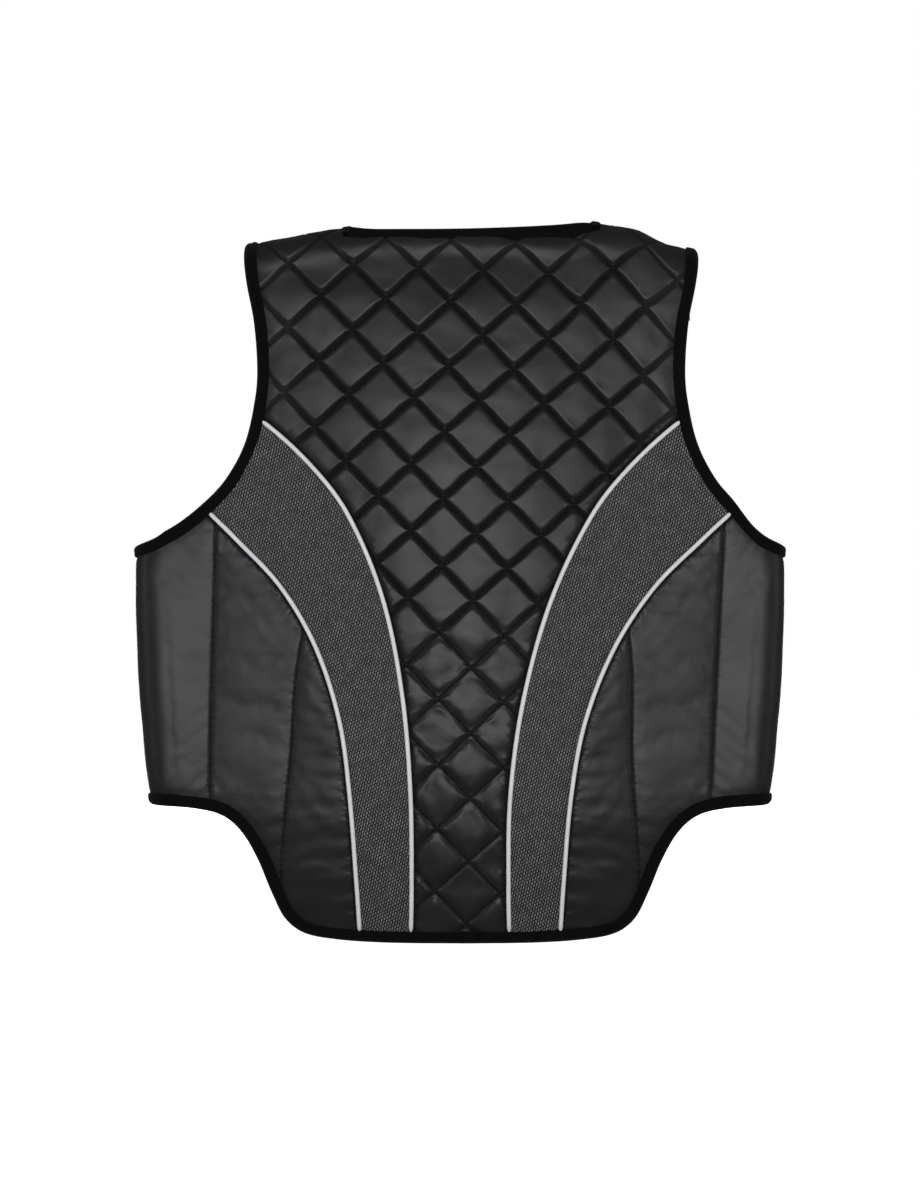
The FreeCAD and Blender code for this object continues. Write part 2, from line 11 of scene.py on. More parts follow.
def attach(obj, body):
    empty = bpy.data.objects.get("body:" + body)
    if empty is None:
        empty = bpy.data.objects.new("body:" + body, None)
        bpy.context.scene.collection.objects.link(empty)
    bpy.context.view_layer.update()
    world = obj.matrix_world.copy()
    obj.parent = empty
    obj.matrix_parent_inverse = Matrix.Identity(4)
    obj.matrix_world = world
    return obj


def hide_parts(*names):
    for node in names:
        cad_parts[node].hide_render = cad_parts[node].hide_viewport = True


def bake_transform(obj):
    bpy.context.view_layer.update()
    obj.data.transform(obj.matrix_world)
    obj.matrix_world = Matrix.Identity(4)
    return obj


# Body protector vest, seen from the back: quilted satin, mesh bands, piping and bound edges,
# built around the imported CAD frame. Lengths are in mm in the design frame (X across with the
# wearer's right at +X, Y from the back to the chest, Z up from the tail's hem) until place().
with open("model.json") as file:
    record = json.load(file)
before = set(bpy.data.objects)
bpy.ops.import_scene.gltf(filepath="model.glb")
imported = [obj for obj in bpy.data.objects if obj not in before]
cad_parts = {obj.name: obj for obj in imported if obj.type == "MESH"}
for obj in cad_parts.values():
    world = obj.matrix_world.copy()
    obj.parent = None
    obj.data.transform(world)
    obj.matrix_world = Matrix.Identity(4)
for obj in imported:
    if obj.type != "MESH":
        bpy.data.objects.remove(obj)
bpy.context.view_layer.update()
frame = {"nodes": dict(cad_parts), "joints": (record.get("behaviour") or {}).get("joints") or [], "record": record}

# ---------------------------------------------------------------- sizes shared with the CAD
SHELL = 3.7                    # thickness of the outer cover
PAD_UNDER = 12.0               # underside of the foam
LINING_TOP, LINING_UNDER = 12.3, 13.8
BINDING_WIDTH = 10.0
BINDING_TUCK = 1.5             # how far a panel runs in under the binding
SEAM_HALF = 1.7                # a panel ends this far from a piped seam's middle
FOLD_RADIUS = 24.0
FOLD_SQUARENESS = 2.6          # the fold's back half: 2 is round, more is flatter and fuller
FOLD_LOW, FOLD_LEAN, FOLD_FOOT = 110.0, 12 / 210, 225.0
WING_HEM = 111.0
NECK_HALF, BACK_TOP = 94.0, 566.0
RIDGE_MIDDLE, RIDGE_DROP, SHOULDER_HALF = 551.0, 17.5, 182.0
FLAP_EDGE = 505.0              # the shoulder piece's end on the chest
FRONT_TOP, ZIP_EDGE, TAPE_EDGE = 500.0, 12.0, 21.0

# Depth of the outer surface by height, at the middle and at the side folds
SPINE = [(-20, 5), (0, 12), (40, 27), (80, 38), (120, 45), (170, 49.5), (230, 51.5), (300, 52),
         (380, 50), (440, 45), (500, 37), (546, 30), (570, 27)]
FLANK = [(-20, -14), (0, -8), (40, 7), (80, 18.5), (110, 24), (330, 24), (440, 24), (546, 23),
         (570, 22.5)]
CHEST = [(90, 48), (440, 48), (500, 37), (546, 30)]
CHEST_FLANK = [(90, 13.5), (300, 13.5), (350, 24), (440, 24), (546, 23)]

# Outlines of the right half, as (x, z)
HEM = [(0, 0.5), (60, 1), (100, 3.5), (125, 8.5), (140, 20), (151, 42), (162, 69), (175, 91),
       (190, 103.5), (212, 109), (240, 111), (270, 112)]
ARMHOLE = [(275, 315), (250, 323.5), (231, 335), (212, 353.5), (195, 373), (180.5, 401),
           (172.4, 437), (170.8, 460), (173.5, 497), (180, 532), (182, 560), (182, 620)]
NECKLINE = [(94, 508), (91, 480), (80, 460), (58, 446), (32, 441), (12, 440)]
INNER_SEAM = [(40, -15), (38.6, 46), (39.8, 122), (48.4, 199), (67, 276), (97, 343), (127, 382),
              (168, 419), (205, 441)]
OUTER_SEAM = [(79, -15), (82.4, 46), (88.4, 122), (98, 180), (119, 238), (149, 286), (186, 324),
              (208, 345), (245, 380)]
INNER_STITCH = [(150, -15), (144, 51), (135.5, 150), (133, 220), (122, 290), (100, 420)]
OUTER_STITCH = [(199, 60), (201, 230), (203, 372)]

# ---------------------------------------------------------------- sizes of the cloth only
LEAN = 9.0                     # the displayed vest's upper part stands this far to its right
LEAN_FROM, LEAN_OVER = 83.0, 328.0
SHOULDER_RISE = 6.5            # and its right shoulder is this much higher beside the neck
SHOULDER_DRAW = 4.2            # the shoulder pieces are this much narrower on the chest side
QUILT_PITCH = 51.8             # width of a quilting diamond
QUILT_SIDE = 37.0              # length of its side
QUILT_TOP, QUILT_GROOVE = 0.2, 3.35
QUILT_SHIFT = [(17, 5), (118, 8), (169, 7), (222, 5.4), (275, 4.7), (328, 5), (380, 4), (434, 6),
               (484, 9), (538, 9.5), (700, 9.5)]
QUILT_ROWS = [(-2, -88), (0, 17), (2, 118), (4, 222), (6, 328), (8, 434), (10, 538), (12, 643),
              (14, 748)]
QUILT_FALL = 0.045             # the rows fall this much towards the wearer's right
PIPING_RADIUS = 1.75
THREAD = 0.3

fold_joint = next(j for j in frame["joints"] if j["name"] == "right_front_swing")
ORIGIN = np.array([0, fold_joint["pos_m"][1], fold_joint["pos_m"][2] - FOLD_LOW / 1000])


# ---------------------------------------------------------------- curves and surfaces
def smooth(t):
    t = np.clip(t, 0, 1)
    return t * t * (3 - 2 * t)


def eased(knots, z):
    """A smooth curve through (place, value) knots, read at an array of places."""
    places, values = np.array(knots, float).T
    z = np.clip(z, places[0], places[-1])
    last = len(places) - 1
    k = np.clip(np.searchsorted(places, z, side="right") - 1, 0, last - 1)
    below = np.maximum(np.arange(last + 1) - 1, 0)
    above = np.minimum(np.arange(last + 1) + 1, last)
    slope = (values[above] - values[below]) / (places[above] - places[below])
    step = places[k + 1] - places[k]
    t = (z - places[k]) / step
    rise = values[k] * (1 + 2 * t) * (1 - t) ** 2 + values[k + 1] * t * t * (3 - 2 * t)
    return rise + step * t * (1 - t) * (slope[k] * (1 - t) - slope[k + 1] * t)


def lengths(line):
    """The length along a line at each of its points."""
    return np.r_[0, np.cumsum(np.linalg.norm(np.diff(line, axis=0), axis=1))]


def unit(vectors):
    return vectors / np.linalg.norm(vectors, axis=1)[:, None]


def inward(line, sign=1):
    """The unit direction to the left of a line at each point, or with sign -1 to the right."""
    way = unit(np.gradient(line, axis=0))
    return sign * np.column_stack([-way[:, 1], way[:, 0]])


def curve(points, step=1.5):
    """A smooth line through a few points, as a dense array of (x, z)."""
    points = np.array(points, float)
    along = lengths(points)
    dense = np.linspace(0, along[-1], int(along[-1] / step) + 1)
    return np.column_stack([eased(list(zip(along, points[:, i])), dense) for i in (0, 1)])


def beside(line, distance):
    """A dense line moved sideways, to the left of its direction."""
    return line + distance * inward(line)


def fold_x(z):
    return FOLD_FOOT + FOLD_LEAN * (z - FOLD_LOW)


def fold_line(offset, low, high, step):
    """A line beside the fold's axis, from one height to another."""
    return np.array([(fold_x(z) + offset, z) for z in np.arange(low, high, step)])


def depth(x, z, middle, side):
    """Depth of the outer surface, from its values by height at the middle and at the folds."""
    across = np.minimum(np.abs(x) / fold_x(z), 1)
    deep, shallow = eased(middle, z), eased(side, z)
    return shallow + (deep - shallow) * (1 + np.cos(np.pi * across)) / 2


def ridge_z(x):
    return RIDGE_MIDDLE - RIDGE_DROP * (x / SHOULDER_HALF) ** 2


def ridge_radius(x):
    return depth(x, ridge_z(x), SPINE, FLANK)


def lean(x, v):
    """How far the display shifts the cloth to the wearer's right, fading out at the folds."""
    return LEAN * smooth((v - LEAN_FROM) / LEAN_OVER) * (1 - smooth((np.abs(x) - 205) / 45))


def shoulder_rise(x, v, ridge, radius):
    """The display lifts the top of the wearer's right shoulder a little, beside the neck."""
    beside_neck = smooth((x - 84) / 22) * (1 - smooth((x - 137) / 30))
    up_back = smooth((v - 450) / 90)
    down_chest = 1 - smooth((v - ridge - 0.55 * np.pi * radius) / 60)
    return SHOULDER_RISE * beside_neck * up_back * down_chest


def back_skin(x, v, inset):
    """A point inset from the back. Above the ridge, v is the length over the shoulder roll."""
    x = x + lean(x, v)
    ridge, radius = ridge_z(x), ridge_radius(x)
    turn = np.clip((v - ridge) / radius, 0, np.pi)
    past = np.maximum(v - ridge - np.pi * radius, 0)
    height = np.where(turn < np.pi, np.minimum(v, ridge), ridge - past)
    deep = depth(x, height, SPINE, FLANK) - inset
    y = -deep * np.cos(turn)
    z = height + deep * np.sin(turn) + shoulder_rise(x, v, ridge, radius)
    return np.column_stack([x, y, z])


def front_skin(x, z, inset):
    """A point inset from the front, which leans with the back except beside the zip."""
    x = x + lean(x, z) * smooth((np.abs(x) - 25) / 70)
    return np.column_stack([x, depth(x, z, CHEST, CHEST_FLANK) - inset, z + 0 * x])


def side_skin(s, z, inset):
    """The back's side, which runs on round the fold: s is the way across, past the fold's axis."""
    sign, s = np.sign(s), np.abs(s)
    flat = back_skin(sign * s, z, inset)
    turn = np.clip((s - fold_x(z)) / FOLD_RADIUS, 0, np.pi)
    shift = lean(sign * fold_x(z), z) * (1 - smooth(turn / 1.5))
    across, ahead = np.sin(turn), np.abs(np.cos(turn))
    power = np.where(turn < np.pi / 2, FOLD_SQUARENESS, 2)
    full = (across ** power + ahead ** power) ** (-1 / power)
    radius = (FOLD_RADIUS - inset) * full
    x = sign * (fold_x(z) + radius * across) + shift
    bent = np.column_stack([x, -radius * np.cos(turn), z + 0 * s])
    return np.where((turn > 0)[:, None], bent, flat)


def place(points):
    """Design mm to the row frame in metres."""
    return np.asarray(points) * 0.001 + ORIGIN


def ripple(x, z, pitch, seed, stretch=1.0):
    """Smooth irregular waves from -1 to 1, about pitch long."""
    draw = np.random.default_rng(seed)
    total = 0
    for angle, phase, scale in zip(draw.uniform(0, np.pi, 7), draw.uniform(0, 6.3, 7),
                                   draw.uniform(0.7, 1.5, 7)):
        wave = (x * np.cos(angle) * stretch + z * np.sin(angle)) * 2 * np.pi / (pitch * scale)
        total = total + np.sin(wave + phase + 1.3 * np.sin(wave * 0.37 + 2 * phase))
    return np.clip(total / 3.2, -1, 1)


def nearest(points, line):
    """Distance of each point to a dense line, and the length along the line there."""
    along = lengths(line)
    distance, place_on = [], []
    for part in np.array_split(points, max(1, len(points) // 3000)):
        gap = np.linalg.norm(part[:, None, :] - line[None, :, :], axis=2)
        best = gap.argmin(axis=1)
        distance.append(gap[np.arange(len(part)), best])
        place_on.append(along[best])
    return np.concatenate(distance), np.concatenate(place_on)


# ---------------------------------------------------------------- meshes
def mesh_object(name, verts, faces, cloth=None, marks=None, sharp=55):
    """A closed mesh in the row frame. cloth gives the (across, along) place of each vertex, kept
    as a UV map in metres, and marks are named values per vertex."""
    mesh = bpy.data.meshes.new(name)
    mesh.from_pydata([tuple(v) for v in place(verts)], [], faces)
    if cloth is not None:
        uv = mesh.uv_layers.new(name="cloth")
        corner = np.empty(len(mesh.loops), int)
        mesh.loops.foreach_get("vertex_index", corner)
        uv.data.foreach_set("uv", (np.asarray(cloth)[corner] * 0.001).ravel())
    for key, values in (marks or {}).items():
        mark = mesh.attributes.new(key, "FLOAT", "POINT")
        mark.data.foreach_set("value", np.asarray(values, np.float32))
    tidy = bmesh.new()
    tidy.from_mesh(mesh)
    bmesh.ops.recalc_face_normals(tidy, faces=tidy.faces)
    tidy.to_mesh(mesh)
    tidy.free()
    mesh.polygons.foreach_set("use_smooth", [True] * len(mesh.polygons))
    mesh.set_sharp_from_angle(angle=math.radians(sharp))
    made = bpy.data.objects.new(name, mesh)
    bpy.context.scene.collection.objects.link(made)
    return made


CLEAR_OF_LINES = 0.55          # inner points nearer than this to a line are left out


def triangles(lines, inner, inside):
    """Triangulates the places bounded by crossing lines, keeping what inside() accepts."""
    inner = inner[inside(*inner.T)]
    clear = np.ones(len(inner), bool)
    for line in lines:
        clear &= nearest(inner, curve_resampled(line, 1.0))[0] > CLEAR_OF_LINES
    inner = inner[clear]
    points = [Vector(p) for line in lines for p in line]
    edges, start = [], 0
    for line in lines:
        edges += [(start + i, start + i + 1) for i in range(len(line) - 1)]
        start += len(line)
    points += [Vector(p) for p in inner]
    found = delaunay_2d_cdt(points, edges, [], 0, 1e-4)
    flat = np.array([v[:] for v in found[0]])
    faces = np.array(found[2])
    faces = faces[inside(*flat[faces].mean(axis=1).T)]
    used, faces = np.unique(faces, return_inverse=True)
    return flat[used], faces.reshape(-1, 3)


def curve_resampled(line, step):
    along = lengths(line)
    dense = np.linspace(0, along[-1], int(along[-1] / step) + 2)
    return np.column_stack([np.interp(dense, along, line[:, i]) for i in (0, 1)])


def pad(name, flat, faces, skin, outer, under, sign=1, marks=None):
    """A closed pad over triangulated cloth: its outer face at the inset outer, its underside at
    the inset under, and walls between. sign mirrors it to the wearer's left."""
    count = len(flat)
    x, v = flat[:, 0] * sign, flat[:, 1]
    verts = np.vstack([skin(x, v, outer), skin(x, v, under + 0 * x)])
    once = {}
    for a, b, c in faces.tolist():
        for edge in ((a, b), (b, c), (c, a)):
            if (edge[1], edge[0]) in once:
                del once[(edge[1], edge[0])]
            else:
                once[edge] = True
    walls = [(b, a, a + count, b + count) for a, b in once]
    under_faces = [(c + count, b + count, a + count) for a, b, c in faces.tolist()]
    cloth = np.vstack([np.column_stack([x, v])] * 2)
    doubled = {key: np.tile(values, 2) for key, values in (marks or {}).items()}
    return mesh_object(name, verts, faces.tolist() + under_faces + walls, cloth, doubled)


def grid(x0, x1, z0, z1, step):
    across, along = np.meshgrid(np.arange(x0, x1, step), np.arange(z0, z1, step))
    across = across + (np.arange(along.shape[0]) % 2)[:, None] * step / 2
    return np.column_stack([across.ravel(), along.ravel()])


def rows_beside(line, offsets):
    return np.vstack([beside(line, offset) for offset in offsets])


def tube(path, radius, skin, inset, sides=10, sign=1):
    """Vertices and faces of a round cord along a line on the cloth."""
    x, v = path[:, 0] * sign, path[:, 1]
    middle = skin(x, v, inset + 0 * x)
    way = unit(np.gradient(middle, axis=0))
    across = unit(np.cross(way, middle - skin(x, v, inset + 1 + 0 * x)))
    up = np.cross(across, way)
    radius = np.full(len(path), radius)
    radius[[0, -1]] *= 0.55
    turns = np.linspace(0, 2 * np.pi, sides, endpoint=False)
    around = (np.cos(turns)[None, :, None] * across[:, None]
              + np.sin(turns)[None, :, None] * up[:, None])
    verts = middle[:, None] + radius[:, None, None] * around
    cloth = np.column_stack([np.tile(turns * 1.8, len(path)), np.repeat(lengths(middle), sides)])
    return verts.reshape(-1, 3), ring_faces(len(path), sides), cloth


def ring_faces(rings, sides):
    faces = [(i * sides + k, i * sides + (k + 1) % sides, (i + 1) * sides + (k + 1) % sides,
              (i + 1) * sides + k) for i in range(rings - 1) for k in range(sides)]
    last = (rings - 1) * sides
    return faces + [tuple(range(sides))[::-1], tuple(range(last, last + sides))]


def merged(name, parts):
    """One object from several (verts, faces, cloth) parts."""
    verts, faces, cloth, start = [], [], [], 0
    for part_verts, part_faces, part_cloth in parts:
        faces += [tuple(i + start for i in face) for face in part_faces]
        verts.append(part_verts)
        cloth.append(part_cloth)
        start += len(part_verts)
    return mesh_object(name, np.vstack(verts), faces, np.vstack(cloth))


# the folded tape's section, as (share of the binding's width, inset)
BAND_SECTION = [(1.0, 1.5), (0.95, 0.1), (0.82, -0.6), (0.6, -0.45), (0.4, -0.55), (0.2, 0.3),
                (0.06, 2.3), (0, 5.2), (0, 8.6), (0.06, 11.6), (0.2, 13.3), (0.4, 14.0),
                (0.7, 13.9), (0.95, 13.6), (1.0, 12.6)]


def band(path, inward, skin, width=BINDING_WIDTH, sign=1, lift=0.0, section=BAND_SECTION, seed=3):
    """Edge binding along a line: a rounded tape folded over the edge. inward is the direction
    into the cloth at each point of the line."""
    along = lengths(path)
    rings = []
    for share, inset in section:
        wave = ripple(along, along * 0 + 40 * share, 16, seed) * 0.22
        swell = ripple(along, along * 0 + 9, 60, seed + 1) * 0.35
        flat = path + inward * (width * share + swell * (share > 0.9))[:, None]
        proud = (inset + wave - lift) if inset < 6 else (inset + wave * 0.3)
        rings.append(skin(flat[:, 0] * sign, flat[:, 1], proud))
    sides = len(section)
    verts = np.stack(rings, axis=1).reshape(-1, 3)
    around = np.cumsum([0] + [math.hypot(width * (a[0] - b[0]), a[1] - b[1])
                              for a, b in zip(section, section[1:])])
    cloth = np.column_stack([np.tile(around, len(path)), np.repeat(along, sides)])
    return verts, ring_faces(len(path), sides), cloth


BAND_OUTER, BAND_UNDER = -0.6, 14.0


def thin_section(outer, under):
    """The binding's section squeezed between two insets."""
    squeeze = (under - outer) / (BAND_UNDER - BAND_OUTER)
    return [(share, outer + (inset - BAND_OUTER) * squeeze) for share, inset in BAND_SECTION]


STITCH_LENGTH, STITCH_GAP, STITCH_SIDES = 2.3, 1.1, 6
QUILT_STITCH_PROUD, COVER_STITCH_PROUD = 0.1, 0.15
STITCH_SHAPE = np.array([(-0.5, 0.35), (-0.38, 1), (0.38, 1), (0.5, 0.35)])


def stitches(name, lines, skin, inset, radius=THREAD, sign=1):
    """Short rounded stitches along lines on the cloth. inset(x, v) is the depth they lie at."""
    spots = []
    for line in lines:
        along = lengths(line)
        for middle in np.arange(STITCH_LENGTH, along[-1] - STITCH_LENGTH / 2,
                                STITCH_LENGTH + STITCH_GAP):
            points = middle + STITCH_SHAPE[:, 0] * STITCH_LENGTH
            spots.append(np.column_stack([np.interp(points, along, line[:, i]) for i in (0, 1)]))
    flat, count, rings = np.vstack(spots), len(spots), len(STITCH_SHAPE)
    x, v = flat[:, 0] * sign, flat[:, 1]
    deep = inset(flat[:, 0], v)
    middle = skin(x, v, deep)
    up = unit(middle - skin(x, v, deep + 1))
    ends = middle.reshape(-1, rings, 3)
    way = unit(np.repeat((ends[:, -1] - ends[:, 0])[:, None], rings, axis=1).reshape(-1, 3))
    across = np.cross(way, up)
    size = np.tile(STITCH_SHAPE[:, 1] * radius, count)[:, None]
    sides = [middle + size * (math.cos(a) * across + math.sin(a) * up)
             for a in np.linspace(0, 2 * math.pi, STITCH_SIDES, endpoint=False)]
    faces = [tuple(i + k * rings * STITCH_SIDES for i in face)
             for k in range(count) for face in ring_faces(rings, STITCH_SIDES)]
    verts = np.stack(sides, axis=1).reshape(-1, 3)
    return merged(name, [(verts, faces, np.repeat(flat, STITCH_SIDES, axis=0))])


# ---------------------------------------------------------------- outlines in the cloth's plane
def mirrored(line):
    return line[::-1] * [-1, 1]


def both(line):
    """A line of the right half, joined to its mirror image."""
    return np.vstack([mirrored(line), line[1:]])


def read(line, at, by=1):
    """The other coordinate of a line where its coordinate number by has the value at."""
    order = np.argsort(line[:, by], kind="stable")
    return np.interp(at, line[order, by], line[order, 1 - by])


def over_length(x, height):
    """The length v at which the shoulder piece comes down to a height on the chest side."""
    ridge = ridge_z(x)
    return ridge + np.pi * ridge_radius(x) + ridge - height


def neck_length(x, height):
    """The length v at which the neck's edge reaches a height behind the ridge."""
    ridge, radius = ridge_z(x), ridge_radius(x)
    return ridge + radius * np.arcsin(np.clip((height - ridge) / radius, 0, 0.955))


def over_shoulder(line):
    """An armhole line carried on over the shoulder to the chest."""
    flat = line[line[:, 1] < 520]
    x_top = read(line, 540.0)
    v = np.arange(521, over_length(x_top, FLAP_EDGE - 4), 1.5)
    ridge, radius = ridge_z(x_top), ridge_radius(x_top)
    height = ridge + radius * np.sin(np.clip((v - ridge) / radius, 0, np.pi))
    height = np.where(v < ridge, v, height)
    drawn = SHOULDER_DRAW * smooth((v - ridge - np.pi / 2 * radius) / 25)
    return np.vstack([flat, np.column_stack([read(line, height) - drawn, v])])


hem_line, arm_line = curve(HEM), curve(ARMHOLE)
inner_seam, outer_seam = curve(INNER_SEAM), curve(OUTER_SEAM)
inner_stitch, outer_stitch = curve(INNER_STITCH), curve(OUTER_STITCH)
# the panels' edges along the seams: the centre, the two sides of the mesh band and the side panel
centre_seam, band_inner = beside(inner_seam, SEAM_HALF), beside(inner_seam, -SEAM_HALF)
band_outer, side_seam = beside(outer_seam, SEAM_HALF), beside(outer_seam, -SEAM_HALF)
TUCKED = BINDING_WIDTH - BINDING_TUCK
hem_inside, arm_inside = beside(hem_line, TUCKED), beside(arm_line, TUCKED)
hem_inside[0, 0] = 0
arm_over = over_shoulder(arm_line)
arm_over_inside = over_shoulder(arm_inside)
neck_x = np.arange(0, NECK_HALF + TUCKED + 0.1, 1.5)
neck_edge = np.column_stack([neck_x, neck_length(neck_x, BACK_TOP)])
SCALLOP = 2.6                  # the quilted cells bulge over the neck's seam by this much
neck_edge[:, 1] += SCALLOP * (np.abs(np.cos(np.pi * (neck_x - 9.5) / QUILT_PITCH)) - 0.7)
end_x = np.arange(NECK_HALF - 3, 192, 1.5)
flap_end = np.column_stack([end_x, over_length(end_x, FLAP_EDGE)])
flap_end_inside = np.column_stack([end_x, over_length(end_x, FLAP_EDGE + 6.5)])
neck_side = np.column_stack([0 * end_x[:2] + NECK_HALF + TUCKED, [540, 660]])
neck_side = curve_resampled(neck_side, 1.5)


def in_back(x, v):
    """Inside the back's bound outline, whatever the panel."""
    x = np.abs(x)
    below_neck = (v < read(neck_edge, x, 0)) | (x > NECK_HALF + TUCKED)
    kept = (v > read(hem_inside, x, 0)) & (x < read(arm_over_inside, np.maximum(v, 330)))
    return kept & below_neck & (v < over_length(x, FLAP_EDGE + 6.5))


def right_of_seam(seam, offset, x, v):
    """Whether a place lies beyond a right-hand seam, moved outward by offset."""
    moved = beside(seam, -offset)
    limit = read(moved, v)
    return (x > limit) & (v < moved[-1, 1])


def between_seams(x, v):
    return right_of_seam(inner_seam, SEAM_HALF, x, v) & ~right_of_seam(
        outer_seam, -SEAM_HALF, x, v) & (v < 470)


def within_centre(x, v):
    return x < np.where(v < centre_seam[-1, 1], read(centre_seam, v), 400)


# ---------------------------------------------------------------- quilting
row_table = np.linspace(-2, 14, 400)
height_table = eased(QUILT_ROWS, row_table)


def quilt_at(p, q, straight):
    """The place on the cloth of a point of the quilting lattice, whose lines are whole p or q."""
    column, row = (p - q) / 2, (p + q) / 2
    height = np.interp(row, row_table, height_table)
    if straight:
        return np.column_stack([QUILT_PITCH * column, height])
    x = eased(QUILT_SHIFT, height) + QUILT_PITCH * column
    return np.column_stack([x, height - QUILT_FALL * QUILT_PITCH * column])


def quilt_lattice(x, v, straight):
    """The lattice point of a place on the cloth."""
    level = v
    for _ in range(0 if straight else 4):
        column = (x - eased(QUILT_SHIFT, level)) / QUILT_PITCH
        level = v + QUILT_FALL * QUILT_PITCH * column
    column = x / QUILT_PITCH if straight else column
    row = np.interp(level, height_table, row_table)
    return row + column, row - column


# ---------------------------------------------------------------- cloth simulation
CELL_STEPS = 10                # simulated faces along the side of a quilting cell
SLACK, PRESSURE, SETTLING_FRAMES = 0.03, 4.0, 20
FULL_RISE = 3.4                # how far the middle of a settled cell stands up, in mm


def settled(points, faces, held, slack=SLACK):
    """Lets a slack sheet settle under pressure with its held points sewn down, and returns how
    far each point then stands off the plane, in mm."""
    mesh = bpy.data.meshes.new("settling")
    start = np.column_stack([points, 0.12 * ripple(*points.T, 9, 91)]) * 0.001
    mesh.from_pydata([tuple(v) for v in start], [], faces)
    sheet = bpy.data.objects.new("settling", mesh)
    bpy.context.scene.collection.objects.link(sheet)
    sheet.vertex_groups.new(name="held").add(np.flatnonzero(held).tolist(), 1.0, "REPLACE")
    cloth = sheet.modifiers.new("cloth", "CLOTH")
    cloth.settings.vertex_group_mass = "held"
    cloth.settings.use_pressure = True
    cloth.settings.uniform_pressure_force = PRESSURE
    cloth.settings.shrink_min = -slack
    cloth.settings.mass = 0.1
    cloth.settings.effector_weights.gravity = 0
    cloth.point_cache.frame_end = SETTLING_FRAMES
    for number in range(1, SETTLING_FRAMES + 1):
        bpy.context.scene.frame_set(number)
    result = sheet.evaluated_get(bpy.context.evaluated_depsgraph_get()).data
    height = np.empty(len(points) * 3)
    result.vertices.foreach_get("co", height)
    bpy.data.objects.remove(sheet)
    bpy.data.meshes.remove(mesh)
    bpy.context.scene.frame_set(1)
    return height.reshape(-1, 3)[:, 2] * 1000


def settled_net(flat, rows, inside, held, slack=SLACK):
    """The settled height of a regular net of places, as rows. Only the part that inside()
    accepts is simulated; held marks the places that are sewn down."""
    corner = np.arange(len(flat)).reshape(rows, -1)
    faces = np.stack([corner[:-1, :-1], corner[:-1, 1:], corner[1:, 1:], corner[1:, :-1]],
                     axis=2).reshape(-1, 4)
    faces = faces[inside(*flat[faces].mean(axis=1).T)]
    used, faces = np.unique(faces, return_inverse=True)
    height = np.zeros(len(flat))
    height[used] = settled(flat[used], faces.reshape(-1, 4).tolist(), held[used], slack)
    return height.reshape(rows, -1)


def read_net(height, across, up, weigh=lambda share: share):
    """Reads a net between its places, which are counted across and up from its first one."""
    i, j = across.astype(int), up.astype(int)
    s, t = weigh(across - i), weigh(up - j)
    low = height[j, i] * (1 - s) + height[j, i + 1] * s
    high = height[j + 1, i] * (1 - s) + height[j + 1, i + 1] * s
    return low * (1 - t) + high * t


def settled_cells(straight, inside, first=-6, last=18):
    """The settled height of the quilted cloth on a regular net over the lattice."""
    net = np.linspace(first, last, (last - first) * CELL_STEPS + 1)
    p, q = (c.ravel() for c in np.meshgrid(net, net))
    on_line = np.minimum(np.abs(p - np.round(p)), np.abs(q - np.round(q))) < 0.01
    return net, settled_net(quilt_at(p, q, straight), len(net), inside, on_line)


def settled_height(cells, p, q):
    """Reads the settled net at lattice places."""
    net, height = cells
    across, up = ((np.clip(c, net[0], net[-1] - 1e-6) - net[0]) * CELL_STEPS for c in (p, q))
    return read_net(height, across, up)


def scatter(i, j):
    """An irregular number from -1 to 1 for a quilting cell."""
    return 2 * np.modf(np.abs(np.sin(i * 12.9898 + j * 78.233) * 43758.5453))[0] - 1


GROOVE_FLOOR, GROOVE_WIDTH, SHADE_EDGE_RAGGED = 0.6, 2.9, 0.3    # half widths, and the unevenness of the painted shade along the grooves
SHALLOWER, NARROWER = 1.6, 0.9     # what the grooves lose at the armholes and on the shoulders
TIP_REACH, TIP_BLUNTNESS = 7.0, 0.7
PUFF_SHARE, LOW_PUFF = 0.26, 0.42  # share of the settled height, and what the low cells add to it
CELL_TILT = 0.7                    # the cells lean one way or another by up to this
SHADE_MARK_WIDTH, SHADE_MARK_FADE = 0.75, 1.4  # the painted shade along a stitched line's groove
